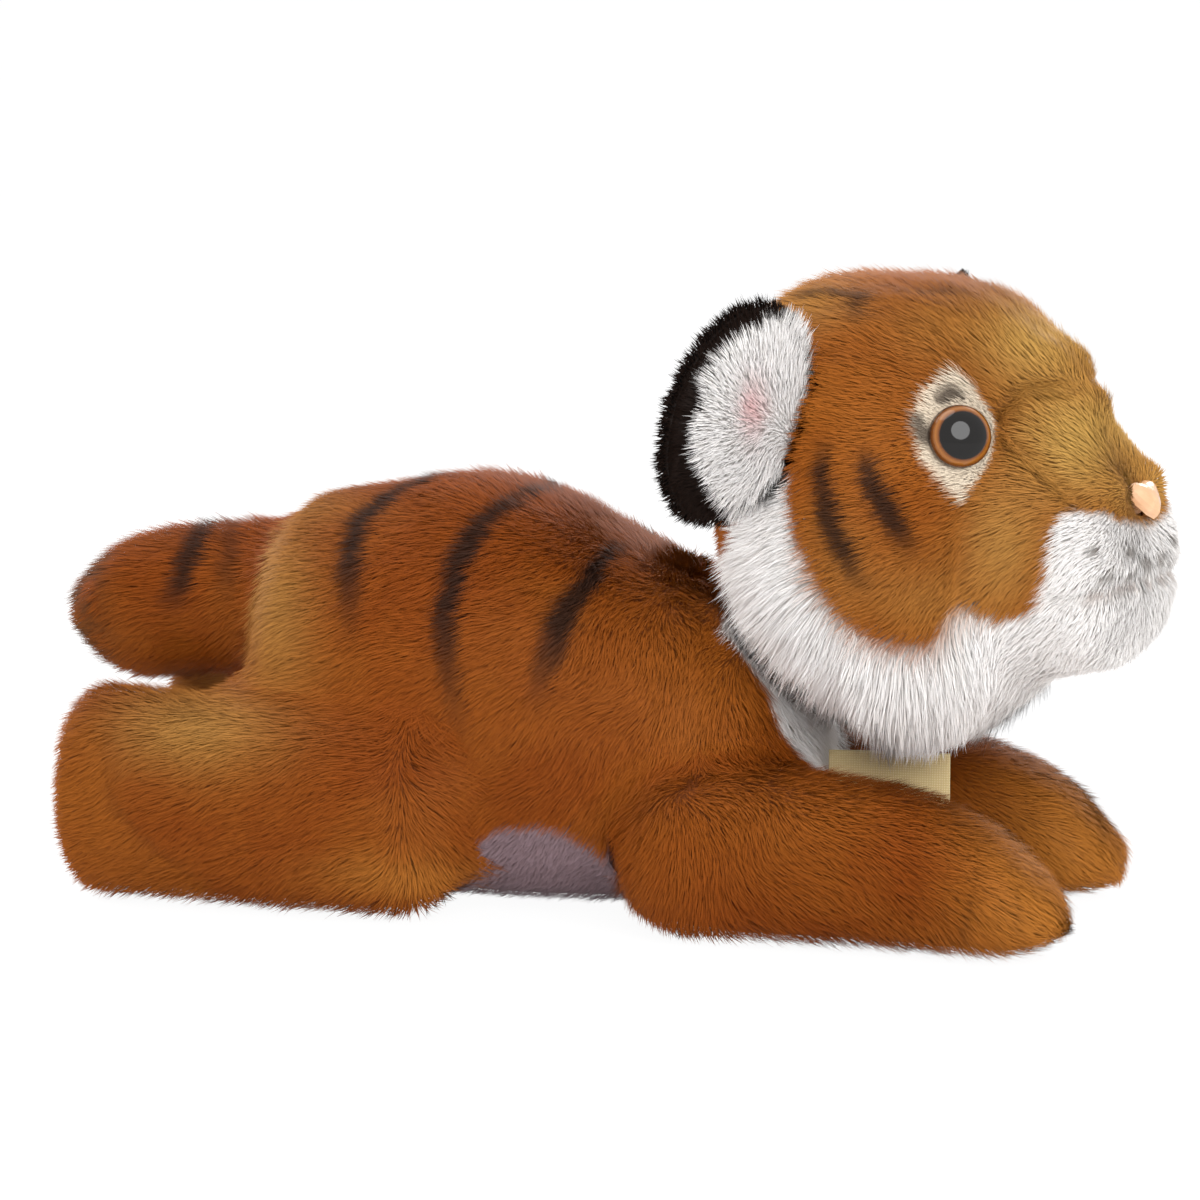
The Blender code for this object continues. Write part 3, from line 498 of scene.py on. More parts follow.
def laid(normals, flow, stand):
    """The way each hair points: along the flow over the surface, lifted off it by its stand."""
    tangent = flow - normals * (flow * normals).sum(1)[:, None]
    length = np.linalg.norm(tangent, axis=1)
    tangent /= np.maximum(length, 1e-9)[:, None]
    lift = np.asarray(stand) + np.clip(0.3 - length, 0, 0.3)
    return unit(tangent * np.cos(lift)[:, None] + normals * np.sin(lift)[:, None])


def wavering(spots, size, seed, amount):
    """A slow change of direction over a form."""
    return amount * np.stack([cloudy(spots, size, seed + 7.7 * i) for i in range(3)], axis=1)


def noted(obj, name, values):
    """Notes a number, a vector or a colour for each vertex of a form."""
    values = np.asarray(values, np.float32)
    kind, key = NOTE_KINDS[values.size // len(values)]
    if name in obj.data.attributes:
        obj.data.attributes.remove(obj.data.attributes[name])
    obj.data.attributes.new(name, kind, "POINT").data.foreach_set(key, values.ravel())


def unwrapped(obj):
    bpy.ops.object.select_all(action="DESELECT")
    obj.select_set(True)
    bpy.context.view_layer.objects.active = obj
    bpy.ops.object.mode_set(mode="EDIT")
    bpy.ops.mesh.select_all(action="SELECT")
    bpy.ops.uv.smart_project(angle_limit=math.radians(66), island_margin=0.004)
    bpy.ops.object.mode_set(mode="OBJECT")
    obj.data.uv_layers[0].name = "OFBake"


def hair_shape():
    """One hair as a bent blade of two faces, one long and one wide, its front to y."""
    points = [(0.0, 0.0, 0.0), (-0.5, 0.09, 0.5), (0.5, 0.09, 0.5), (0.0, 0.0, 1.0)]
    mesh = bpy.data.meshes.new("hair")
    mesh.from_pydata(points, [], [(0, 1, 2), (1, 3, 2)])
    obj = linked("hair", mesh)
    noted(obj, "spread", [(x, z, 0.0) for x, _, z in points])
    return obj


def pile_tree():
    """Hairs over a form's faces, laid by the form's notes."""
    tree = bpy.data.node_groups.new("pile", "GeometryNodeTree")
    for name, kind in (
        ("Form", "Geometry"), ("Hair", "Object"), ("Hairs", "Float"), ("Width", "Float"),
        ("Stray", "Float"), ("Tuft", "Float"), ("Tuft Size", "Float"), ("Seed", "Int"),
        ("Finish", "Material"), ("Pile", "Geometry"),
    ):
        way = "OUTPUT" if name == "Pile" else "INPUT"
        tree.interface.new_socket(name=name, in_out=way, socket_type="NodeSocket" + kind)

    def node(kind, values=None, **settings):
        made = tree.nodes.new(kind)
        for key, value in settings.items():
            setattr(made, key, value)
        for key, value in (values or {}).items():
            socket = made.inputs[key]
            if isinstance(value, bpy.types.NodeSocket):
                tree.links.new(value, socket)
            else:
                socket.default_value = value
        return made

    def note(name, kind):
        return node("GeometryNodeInputNamedAttribute", {"Name": name}, data_type=kind).outputs[0]

    def chance(low, high, seed):
        made = node("FunctionNodeRandomValue", {2: low, 3: high, "Seed": seed}, data_type="FLOAT")
        return made.outputs[1]

    def maths(operation, first, second):
        return node("ShaderNodeMath", {0: first, 1: second}, operation=operation).outputs[0]

    def vectors(operation, first, second, slot=1):
        made = node("ShaderNodeVectorMath", {0: first, slot: second}, operation=operation)
        return made.outputs[0]

    def kept(geometry, name, kind, value):
        return node("GeometryNodeStoreNamedAttribute", {
            "Geometry": geometry, "Name": name, "Value": value,
        }, data_type=kind, domain="POINT").outputs[0]

    given = node("NodeGroupInput").outputs
    density = maths("MULTIPLY", maths("MULTIPLY", note("thick", "FLOAT"), note("share", "FLOAT")),
                    given["Hairs"])
    scatter = node("GeometryNodeDistributePointsOnFaces", {
        "Mesh": given["Form"], "Density": density, "Seed": given["Seed"],
    })
    rooted = kept(scatter.outputs["Points"], "tone", "FLOAT", chance(0.0, 1.0, 3))
    rooted = kept(rooted, "root", "FLOAT_VECTOR", note("OFBake", "FLOAT_VECTOR"))
    astray = node("FunctionNodeRandomValue", {
        0: (-1.0, -1.0, -1.0), 1: (1.0, 1.0, 1.0), "Seed": 7,
    }, data_type="FLOAT_VECTOR").outputs[0]
    place = node("GeometryNodeInputPosition").outputs[0]
    tufts = node("ShaderNodeTexNoise", {
        "Vector": place, "Scale": given["Tuft Size"], "Detail": 1.0,
    }).outputs["Color"]
    lean = vectors("SUBTRACT", tufts, (0.5, 0.5, 0.5))
    strayed = vectors("SCALE", astray, given["Stray"], "Scale")
    way = vectors("ADD", note("comb", "FLOAT_VECTOR"), strayed)
    way = vectors("ADD", way, vectors("SCALE", lean, given["Tuft"], "Scale"))
    upright = node("FunctionNodeAlignRotationToVector", {"Vector": way}, axis="Z").outputs[0]
    facing = vectors("ADD", note("skin", "FLOAT_VECTOR"), vectors("SCALE", astray, 0.4, "Scale"))
    turned = node("FunctionNodeAlignRotationToVector", {
        "Rotation": upright, "Vector": facing,
    }, axis="Y", pivot_axis="Z").outputs[0]
    length = maths("MULTIPLY", note("long", "FLOAT"), chance(0.58, 1.20, 11))
    width = maths("MULTIPLY", given["Width"], chance(0.7, 1.3, 13))
    size = node("ShaderNodeCombineXYZ", {"X": width, "Y": length, "Z": length}).outputs[0]
    hair = node("GeometryNodeObjectInfo", {"Object": given["Hair"]}).outputs["Geometry"]
    planted = node("GeometryNodeInstanceOnPoints", {
        "Points": rooted, "Instance": hair, "Rotation": turned, "Scale": size,
    })
    real = node("GeometryNodeRealizeInstances", {"Geometry": planted.outputs[0]})
    dressed = node("GeometryNodeSetMaterial", {
        "Geometry": real.outputs[0], "Material": given["Finish"],
    })
    node("NodeGroupOutput", {"Pile": dressed.outputs[0]})
    return tree


hair = hair_shape()
pile = pile_tree()


def grown(name, form, body, settings):
    """The pile on a form, as one piece that moves with a body."""
    growth = form.modifiers.new("pile", "NODES")
    growth.node_group = pile
    for item in pile.interface.items_tree:
        if item.name in settings:
            growth[item.identifier] = settings[item.name]
    bpy.context.view_layer.update()
    mesh = applied(form)
    mesh.name = name
    roots, spread, skin = (
        rows(mesh.attributes[key].data, "vector") for key in ("root", "spread", "skin")
    )
    flat = (roots + spread * BAKE_SPOT)[:, :2]
    shading = unit(0.7 * skin + 0.3 * rows(mesh.vertices, "normal"))
    for old in ("comb", "long", "thick", "share", "root", "spread", "skin", "OFBake"):
        if old in mesh.attributes:
            mesh.attributes.remove(mesh.attributes[old])
    corners = rows(mesh.loops, "vertex_index", 1, np.int32)[:, 0]
    layer = mesh.uv_layers.new(name="OFBake")
    layer.data.foreach_set("uv", flat[corners].ravel())
    smoothed(mesh)
    obj = linked(name, mesh)
    noted(obj, "along", spread[:, 1])
    noted(obj, "custom_normal", shading)
    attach(obj, body)


def hair_finish(name, root_painted_shade, tip_painted_light, vary):
    """Dyed hair, darkened by painted shade where it grows and paled by painted light at its tip, no
    two quite alike.
    """
    finish = Finish(name, Roughness=0.60, Specular_IOR_Level=0.10)
    dye = finish.attribute("dye")
    along = finish.attribute("along", 2)
    tone = finish.attribute("tone", 2)
    # painted shade at the root, painted light at the tip
    deep = finish.mix(1.0, dye, (*root_painted_shade, 1.0), "MULTIPLY")
    pale = finish.mix(1.0, dye, (*tip_painted_light, 1.0), "MULTIPLY")
    colour = finish.mix(along * (1.0 - vary + tone * vary), deep, pale)
    surface = finish.node("ShaderNodeNewGeometry", {}, {})
    side = 1 - Wire(finish, surface.outputs["Backfacing"]) * 2
    outward = finish.node("ShaderNodeVectorMath", {"operation": "SCALE"}, {
        "Vector": Wire(finish, surface.outputs["Normal"]), "Scale": side,
    })
    finish.shade(Base_Color=colour, Normal=Wire(finish, outward.outputs[0]))
    return finish.material


def backing_finish(name, shade):
    """The knitted backing between the hairs, dyed with them and darkened by painted shade under the
    pile.
    """
    finish = Finish(name, Roughness=0.95)
    grain = finish.grain(1400.0, 2.0)
    # painted shade: the dye darkened under the pile
    finish.shade(Base_Color=finish.mix(1.0, finish.attribute("dye"), (*shade, 1.0), "MULTIPLY"))
    finish.bumped(grain, 0.6, 0.0005)
    return finish.material


RUST = linear(142, 69, 14)
AMBER = linear(172, 102, 33)
# gold and honey serve only as painted light: highlights where the pile faces the lamps
LIT_GOLD = linear(206, 163, 86)
LIT_HONEY = linear(206, 136, 56)
DARK = linear(44, 28, 20)
WHITE = linear(250, 248, 246)
CREAM = linear(240, 224, 200)
# the belly panel's lavender, darkened to about half by painted shade for where it lies under the
# body
SHADED_LAVENDER = linear(146, 124, 130)

hair_material = hair_finish("dyed_hair", (0.84, 0.80, 0.76), (1.12, 1.12, 1.14), 0.5)
backing_material = backing_finish("knitted_backing", (0.80, 0.76, 0.74))


def plush(form, body, facing, colours, comb, length, thick, nodes, seed,
          slices=1, hairs=HAIRS):
    """A stuffed piece: its padded backing in place of its solids, and its pile."""
    lift = np.clip((comb * facing).sum(1), 0.2, 1.0)
    spots = places(form)[0] - facing * (length * lift * PILE_SHARE)[:, None]
    moved(form, spots)
    comb = comb.copy()
    comb[:, 2] = np.maximum(comb[:, 2], -spots[:, 2] / length)
    opaque = np.hstack([np.clip(colours, 0, 1), np.ones((len(colours), 1))])
    noted(form, "dye", opaque)
    noted(form, "comb", comb)
    noted(form, "skin", facing)
    noted(form, "long", length)
    noted(form, "thick", thick)
    unwrapped(form)
    form.data.materials.append(backing_material)
    bounds = np.quantile(spots[:, 0], np.linspace(0, 1, slices + 1))
    bounds[0], bounds[-1] = -1.0, 1.0
    for index in range(slices):
        within = (spots[:, 0] >= bounds[index]) & (spots[:, 0] < bounds[index + 1])
        noted(form, "share", within.astype(float))
        name = form.name + "_pile" + ("" if slices == 1 else "_" + "abcd"[index])
        grown(name, form, body, {
            "Hair": hair, "Hairs": hairs, "Width": HAIR_WIDTH, "Stray": HAIR_STRAY,
            "Tuft": TUFT_LEAN, "Tuft Size": TUFT_SIZE, "Seed": seed + index,
            "Finish": hair_material,
        })
    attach(form, body)
    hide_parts(*nodes)


def coat(spots, facing, seed, pale=0.0):
    """The coat's orange: rust with amber in slow patches and flecks, and painted shade on upward
    faces.
    """
    # painted shade: upward faces get less amber, so the tops look rustier
    painted_top_shade = soft(facing[:, 2], 0.0, 0.95)
    patch = soft(cloudy(spots, 0.025, seed), -0.5, 0.7)
    fine = cloudy(spots, 0.006, seed + 20)
    amber = np.clip(pale - 0.10 * painted_top_shade + 0.30 * patch + 0.12 * fine, 0, 1)
    return blended(np.array(RUST), AMBER, amber)


def faded(colours, pixels, painted_patches):
    """Soft patches of painted light: paler colours blended in round places in the camera's frame.
    """
    for colour, middle, wide, high, strength in painted_patches:
        colours = blended(colours, colour, blot(pixels, middle, wide, high, strength))
    return colours


def beside(spots, nodes):
    """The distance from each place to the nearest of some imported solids."""
    gaps = []
    for node in nodes:
        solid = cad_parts[node].data
        corners, faces = [v.co for v in solid.vertices], [p.vertices for p in solid.polygons]
        tree = BVHTree.FromPolygons(corners, faces)
        gaps.append(nearest(tree, spots)[2])
    return np.min(gaps, axis=0)


def under_thin(spots, facing):
    """Less pile where the toy lies on the floor."""
    return 1 - 0.7 * soft(-facing[:, 2], 0.5, 0.9) * soft(0.012 - spots[:, 2], 0.0, 0.008)


# The torso: back and flanks of orange pile with three airbrushed stripes a side, a short
# lavender panel under the belly, and a white one on the chest, all sewn into one bag
# round its filling.

TORSO_PILE = 0.0060
BELLY_CUT = 0.0026
STRIPE_STEP = 0.003
# painted light: a gold catch light on the rump's rear edge and top, and amber lightening the chest
# side
TORSO_PAINTED_LIGHT = (
    (LIT_GOLD, (280, 590), 46, 110, 0.40), (LIT_GOLD, (330, 502), 55, 20, 0.18),
    (AMBER, (690, 660), 110, 90, 0.40),
)
BACK_STRIPES = (
    ([(446, 474), (402, 492), (370, 520), (360, 560), (360, 605), (366, 660)], 0.0040, True),
    ([(562, 492), (502, 516), (468, 555), (456, 610), (460, 665), (468, 720), (470, 765)],
     0.0036, True),
    ([(642, 546), (604, 560), (574, 604), (556, 650), (546, 690), (549, 725)], 0.0036, False),
)
BELLY_EDGE = [(462, 900), (468, 860), (485, 838), (505, 827), (540, 822), (570, 827), (595, 843),
               (612, 866), (622, 900)]

torso, facing, shown = skinned("torso", TORSO_NODES, [leg_skin, tail_skin])
spots = places(torso)[0]
folded = near_side(spots)
pixels = pictured(folded)
colours = faded(coat(folded, facing, 1.0), pixels, TORSO_PAINTED_LIGHT)
ragged = 0.0010 * cloudy(spots, 0.004, 5.0)
for marks, width, over in BACK_STRIPES:
    path = near_side(sighted(torso, marks))
    if over:
        top = path[0].copy()
        top[0] += STRIPE_STEP
        top[1] = MIDDLE
        path = np.vstack([top, path])
    mask = stroke(folded, path, width, 0.12, 0.45, ragged)
    colours = blended(colours, DARK, 0.95 * mask)
belly = zone(pixels, BELLY_EDGE, 4.0) * soft(0.030 - spots[:, 2], 0.0, 0.004)
belly = np.maximum(belly, soft(0.008 - spots[:, 2], 0.0, 0.004))
chest_gap = beside(spots, ["chest_panel"])
chest = (1 - soft(chest_gap, 0.001, 0.003)) * soft(spots[:, 0], 0.030, 0.036)
# the belly panel in lavender, darkened by painted shade
colours = blended(colours, SHADED_LAVENDER, belly)
colours = blended(colours, WHITE, chest)
flow = np.array([-0.9, 0.0, -0.55]) + wavering(folded, 0.016, 9.0, 0.5)
flow[:, 0] += 0.8 * soft(spots[:, 0], -0.03, 0.035)
comb = laid(facing, flow, HAIR_STAND + 0.16 * cloudy(spots, 0.010, 9.0))
seat = beside(spots, ["head_cover", "ruff_panel", "head_filling"])
thick = (0.40 + 0.60 * shown) * (0.15 + 0.85 * soft(seat, 0.001, 0.004))
thick = thick * under_thin(spots, facing)
length = (TORSO_PILE - BELLY_CUT * belly) * (0.5 + 0.5 * shown)
plush(torso, "torso", facing, colours, comb, length, thick, TORSO_NODES, 21,
      slices=4)

# The legs: each a padded tube of the same orange pile, sewn to the torso at the shoulder or
# hip and stitched in lines for the toes. The hind foot's end is a panel of its own.

TOES = [[(1003, 868), (1008, 905), (1004, 944)], [(962, 884), (958, 912), (950, 944)]]
SOLE_CREASE = [(112, 716), (118, 790), (150, 832), (215, 882)]
SOLE_EDGE = [(40, 690), *SOLE_CREASE, (215, 920), (40, 920)]
# Each entry's last number is the strength of the painted shade drawn dark along its lines, in the
# pressed toe creases and the sole seam.
LEG_LINES = {"front_leg": (TOES, 0.0013, 0.26), "hind_leg": ([SOLE_CREASE], 0.0012, 0.30)}
# painted light: amber on the front leg's top, a gold catch light on the hind leg's top edge, honey
# highlights low on the thigh
LEG_PAINTED_LIGHT = {
    "front_leg": ((AMBER, (770, 800), 130, 40, 0.36),),
    "hind_leg": ((LIT_GOLD, (205, 722), 88, 44, 0.46), (LIT_HONEY, (400, 874), 80, 24, 0.45)),
}
PAW_LIGHT_SPAN = (890, 1040)
TOE_WIDTH = 0.0016
TOE_DEPTH = 0.0013
PAW_SWELL = 0.0035
PAW_CORNER_HEIGHT = 0.008
PAW_CORNER_RADIUS = 0.012
FLOOR_GAP = 0.0002
LEG_PILE = 0.0058


def pressed(obj, folded, path, width, depth):
    """A sewn crease along a path over a form."""
    spots, normals = places(obj)
    gap, along = reach(folded, path)
    ends = soft(along, 0.0, 0.12) * (1 - soft(along, 0.88, 1.0))
    moved(obj, spots - normals * (depth * ends * np.exp(-((gap / width) ** 2)))[:, None])


def leg(kind, side, seed):
    name = kind + "_" + side
    nodes = [node.format(side) for node in LEG_NODES[kind]]
    form, facing, shown = skinned(name, nodes, [leg_skin])
    near = form if side == "right" else bpy.data.objects[kind + "_right"]
    folded = near_side(places(form)[0])
    ahead = 1 if kind == "front_leg" else -1
    if ahead > 0:
        spots, normals = places(form)
        corner = np.array([spots[:, 0].max(), spots[spots[:, 0].argmax(), 1], PAW_CORNER_HEIGHT])
        away = np.linalg.norm(spots - corner, axis=1) / PAW_CORNER_RADIUS
        full = PAW_SWELL * np.exp(-(away ** 2))
        spots = spots + normals * full[:, None]
        spots[:, 2] = np.maximum(spots[:, 2], FLOOR_GAP)
        moved(form, spots)
    lines, line_width, dark_pile_and_crease_shade = LEG_LINES[kind]
    for marks in lines:
        pressed(form, folded, near_side(sighted(near, marks)), TOE_WIDTH, TOE_DEPTH)
    spots = places(form)[0]
    folded = near_side(spots)
    pixels = pictured(folded)
    colours = faded(coat(folded, facing, seed), pixels, LEG_PAINTED_LIGHT[kind])
    if ahead > 0:
        # painted light: the front paws pale to honey towards their fronts, where they face the key
        # lamp
        colours = blended(colours, LIT_HONEY, 0.62 * soft(pixels[:, 0], *PAW_LIGHT_SPAN))
    else:
        colours = blended(colours, AMBER, 0.30 * zone(pixels, SOLE_EDGE, 8.0))
    # painted shade: dark lines along the pressed toe creases and sole seam
    for marks in lines:
        mask = stroke(folded, near_side(sighted(near, marks)), line_width, 0.2, 0.2)
        colours = blended(colours, DARK, dark_pile_and_crease_shade * mask)
    flow = np.tile(np.array([0.9 * ahead, 0.0, -0.5]), (len(spots), 1))
    if ahead > 0:
        flow[:, 0] -= 1.0 * (1 - soft(spots[:, 0], 0.025, 0.080))
    else:
        flow[:, 0] += 1.6 * soft(spots[:, 0], -0.045, -0.028)
    flow = flow + wavering(folded, 0.016, seed + 3.0, 0.5)
    comb = laid(facing, flow, HAIR_STAND + 0.16 * cloudy(spots, 0.010, seed + 3.0))
    thick = (0.40 + 0.60 * shown) * under_thin(spots, facing)
    length = LEG_PILE * (0.5 + 0.5 * shown)
    plush(form, name, facing, colours, comb, length, thick, nodes, seed, slices=2)


for kind, side, seed in (
    ("front_leg", "right", 31), ("front_leg", "left", 33),
    ("hind_leg", "right", 35), ("hind_leg", "left", 37),
):
    leg(kind, side, seed)

# The tail: a short thick padded tube of the same orange pile, sewn to the rump, with two
# airbrushed bands and a dark tip.

TAIL_SAG = 0.0030
TAIL_PILE = 0.0068
TAIL_TIP = linear(70, 52, 28)
TAIL_BANDS = (
    ([(226, 500), (214, 532), (198, 562), (185, 590), (180, 622)], 0.92, 13.0),
    ([(250, 505), (240, 555), (234, 610)], 0.50, 11.0),
)

tail, facing, shown = skinned("tail", TAIL_NODES, [tail_skin])
spots = places(tail)[0]
sag = soft(-facing[:, 2], 0.0, 0.8) * soft(-spots[:, 0], 0.098, 0.118)
spots[:, 2] -= TAIL_SAG * sag
moved(tail, spots)
folded = near_side(spots)
colours = coat(folded, facing, 4.0)
pixels = pictured(folded)
ragged = 3.5 * cloudy(spots, 0.004, 3.0)
for marks, strength, width in TAIL_BANDS:
    mask = stroke(pixels, np.array(marks, float), width, 0.02, 0.4, ragged)
    colours = blended(colours, DARK, strength * mask * soft(spots[:, 2], 0.050, 0.058))
tip = soft(-spots[:, 0], 0.118, 0.137)
colours = blended(colours, TAIL_TIP, 0.75 * tip * soft(cloudy(spots, 0.005, 2.0), -0.5, 0.3))
flow = np.array([-0.9, 0.0, -0.35]) + wavering(spots, 0.014, 5.0, 0.5)
comb = laid(facing, flow, HAIR_STAND + 0.06 + 0.16 * cloudy(spots, 0.010, 6.0))
plush(tail, "tail", facing, colours, comb, TAIL_PILE * (0.5 + 0.5 * shown), 0.25 + 0.75 * shown,
      TAIL_NODES, 41, slices=2)

# The head: orange panels over the skull, cheeks and bridge, white long pile under and behind
# the cheeks, white muzzle and chin, and cream patches round the eyes, on one padded form.

HEAD_PIVOT = Vector((0.080397, -0.007556, 0.098))
HEAD_TURN = math.radians(-16)
EYE_PLACE = Vector((0.02868, 0.0332, 0.02700))
EYE_HEADING = math.radians(48)
EYE_LIFT = math.radians(12)
NOSE_PLACE = Vector((0.06077, 0.0, 0.01100))
HEAD_VOXEL = 0.0013
SOCKET_RIM = (0.0080, 0.0100)
SOCKET_REACH = 0.020
SOCKET_BACK = 0.010
SOCKET_DEPTH = 0.0010
FACE_PILE = 0.0055
MUZZLE_CUT = 0.0018
RUFF_PILE = 0.0085
HEAD_NODES = [
    "head_cover", "ruff_panel", "muzzle_panel", "head_filling", "eye_patch_left",
    "eye_patch_right", "eye_washer_left", "eye_washer_right", "nose_washer",
]
RUFF_HUB = (915, 520)
RUFF_FRONT = 1020
RUFF_FADE = 70
RUFF_TOP = (500, 600)
MUZZLE_BACK = (1035, 1060)
PARTING = (0.064, 0.0, 0.012)
MOUTH = [(1096, 593), (1126, 583), (1150, 576), (1168, 574)]
MOUTH_SHADE_PATH = [(1060, 602), *MOUTH]
HEAD_SWELLS = (
    ((1064, 368), 0.0095, 0.0066), ((1086, 404), 0.0070, 0.0058), ((1100, 445), 0.0090, 0.0010),
    ((1110, 548), 0.0100, 0.0014), ((1090, 628), 0.0100, 0.0012), ((1150, 478), 0.0048, 0.0030),
)
HEAD_SEAMS = (
    ([(1092, 392), (1062, 391), (1037, 394), (1008, 428)], 0.0018, 0.0032),
    ([(1008, 428), (1035, 455), (1062, 480), (1092, 506)], 0.0018, 0.0026),
    ([(975, 500), (968, 548), (962, 600)], 0.0022, 0.0012),
    ([(828, 348), (875, 350), (925, 362)], 0.0030, 0.0009),
    ([(1040, 604), (1068, 600), *MOUTH], 0.0020, 0.0016),
)
# painted light: golden highlights where the brow, bridge, cheeks, skull and muzzle side face the
# lamps
HEAD_PAINTED_LIGHT = (
    ((1045, 345), 55, 50, 0.80), ((1085, 440), 60, 60, 0.92), ((1012, 540), 42, 62, 0.45),
    ((812, 300), 60, 30, 0.34), ((950, 330), 60, 45, 0.20), ((935, 592), 60, 40, 0.22),
    ((1150, 495), 30, 26, 0.70), ((850, 560), 40, 60, 0.15),
)
FACE_STRIPES = (
    ([(836, 432), (832, 470), (840, 520), (860, 560), (884, 600)], 0.0034, 0.92),
    ([(871, 442), (886, 483), (906, 520), (930, 562)], 0.0034, 0.92),
    ([(868, 268), (872, 292), (868, 335)], 0.0028, 0.70),
    ([(945, 274), (972, 296), (994, 318)], 0.0026, 0.60),
)
EYE_SMUDGES = (
    ([(938, 404), (955, 393), (975, 396)], 0.0020, 0.85),
    ([(918, 412), (924, 430), (933, 450)], 0.0021, 0.80),
)
EYE_PATCH = [
    (962, 370), (982, 388), (1000, 420), (995, 458), (973, 503), (945, 482),
    (923, 458), (914, 420), (932, 390),
]
PATCH_REACH = 0.019
ORANGE_EDGE = [
    (822, 347), (806, 385), (797, 420), (792, 460), (795, 500), (800, 533), (820, 580), (853, 620),
    (887, 638), (915, 642), (940, 640), (960, 605), (975, 603), (1000, 615), (1030, 612),
    (1046, 604), (1053, 553), (1060, 525), (1070, 511), (1087, 508), (1110, 512), (1127, 518),
    (1145, 522), (1200, 505), (1200, 200), (600, 200), (600, 540), (690, 590), (705, 585),
    (735, 535), (755, 480), (775, 430), (800, 395),
]
WHISKER_MARKS = (
    [(1095, 552), (1108, 543)], [(1103, 578), (1121, 569)], [(1127, 574), (1140, 566)],
    [(1145, 567), (1152, 559)], [(1157, 553), (1167, 547)], [(1128, 548), (1138, 543)],
)
WHISKER_GREY = linear(96, 84, 72)
MOUTH_SHADE_BROWN = linear(150, 128, 116)

head_place = Matrix.Translation(HEAD_PIVOT) @ Matrix.Rotation(HEAD_TURN, 4, "Z")
head_turn = np.array(head_place.to_3x3())


def eye_placement(side):
    """An eye's placement, its z pointing out of the head."""
    level = math.cos(EYE_LIFT)
    out = Vector((
        math.cos(EYE_HEADING) * level, side * math.sin(EYE_HEADING) * level, math.sin(EYE_LIFT),
    ))
    across = Vector((0.0, 0.0, 1.0)).cross(out).normalized()
    turn = Matrix((across, out.cross(across), out)).transposed().to_4x4()
    place = Vector((EYE_PLACE.x, side * EYE_PLACE.y, EYE_PLACE.z))
    return head_place @ Matrix.Translation(place) @ turn


def from_head(spots):
    """Places in the head's own frame, x to the nose, both sides folded onto the one seen."""
    made = (spots - np.array(HEAD_PIVOT)) @ head_turn
    made[:, 1] = -np.abs(made[:, 1])
    return made


def to_world(local):
    return local @ head_turn.T + np.array(HEAD_PIVOT)


head = fused("head", HEAD_NODES + ["eye_left", "eye_right"], HEAD_VOXEL, FORM_ROUNDS)
spots = places(head)[0]
eye_gap = np.full(len(spots), 1.0)
for side in (1, -1):
    placement = eye_placement(side)
    inward = np.array(placement.inverted())
    own = spots @ inward[:3, :3].T + inward[:3, 3]
    radius = np.linalg.norm(own[:, :2], axis=1)
    close = (own[:, 2] > -SOCKET_BACK) & (radius < SOCKET_REACH)
    sunk = np.where(close, 1 - soft(radius, *SOCKET_RIM), 0.0)
    outward = np.array(placement)[:3, 2]
    spots = spots + outward * (sunk * (-SOCKET_DEPTH - own[:, 2]))[:, None]
    eye_gap = np.where(close, np.minimum(eye_gap, radius), eye_gap)
moved(head, spots)
eased(head, 1)


def bulged(obj, middle, radius, amount):
    """A soft swelling of the head round one place, on both sides."""
    spots, normals = places(obj)
    gap = np.linalg.norm(from_head(spots) - middle, axis=1)
    moved(obj, spots + normals * (amount * np.exp(-((gap / radius) ** 2)))[:, None])


for mark, radius, amount in HEAD_SWELLS:
    bulged(head, from_head(sighted(head, [mark]))[0], radius, amount)
for marks, width, depth in HEAD_SEAMS:
    pressed(head, from_head(places(head)[0]), from_head(sighted(head, marks)), width, depth)

spots, facing = places(head)
local = from_head(spots)


def airbrushed(colours, marks, width, colour, strength, start, end, ragged=0.0):
    """A line of another colour on both sides of the head: dye for stripes and marks, painted shade
    along the mouth.
    """
    path = from_head(sighted(head, marks))
    return blended(colours, colour, strength * stroke(local, path, width, start, end, ragged))


pixels = pictured(to_world(local))
colours = coat(local, facing, 6.0, 0.37)
colours = faded(colours, pixels, [(LIT_GOLD, *patch) for patch in HEAD_PAINTED_LIGHT])
ragged = 0.0008 * cloudy(spots, 0.004, 8.0)
for marks, width, strength in FACE_STRIPES:
    colours = airbrushed(colours, marks, width, DARK, strength, 0.2, 0.35, ragged)
patch = zone(pixels, EYE_PATCH, 3.0) * (eye_gap < PATCH_REACH)
colours = blended(colours, CREAM, patch)
for marks, width, strength in EYE_SMUDGES:
    colours = airbrushed(colours, marks, width, DARK, strength, 0.15, 0.3)
nape = soft(-local[:, 0], 0.012, 0.024) * (1 - soft(-local[:, 1], 0.014, 0.024))
edge = 3.0 * cloudy(spots, 0.003, 30.0)[:, None]
white = (1 - nape) - (1 - nape) * zone(pixels + edge, ORANGE_EDGE, 3.5)
colours = blended(colours, WHITE, white)
for marks in WHISKER_MARKS:
    colours = airbrushed(colours, marks, 0.0012, WHISKER_GREY, 0.75, 0.1, 0.1)
# painted shade: a brownish line in the mouth's groove
colours = airbrushed(colours, MOUTH_SHADE_PATH, 0.0011, MOUTH_SHADE_BROWN, 0.65, 0.3, 0.1)

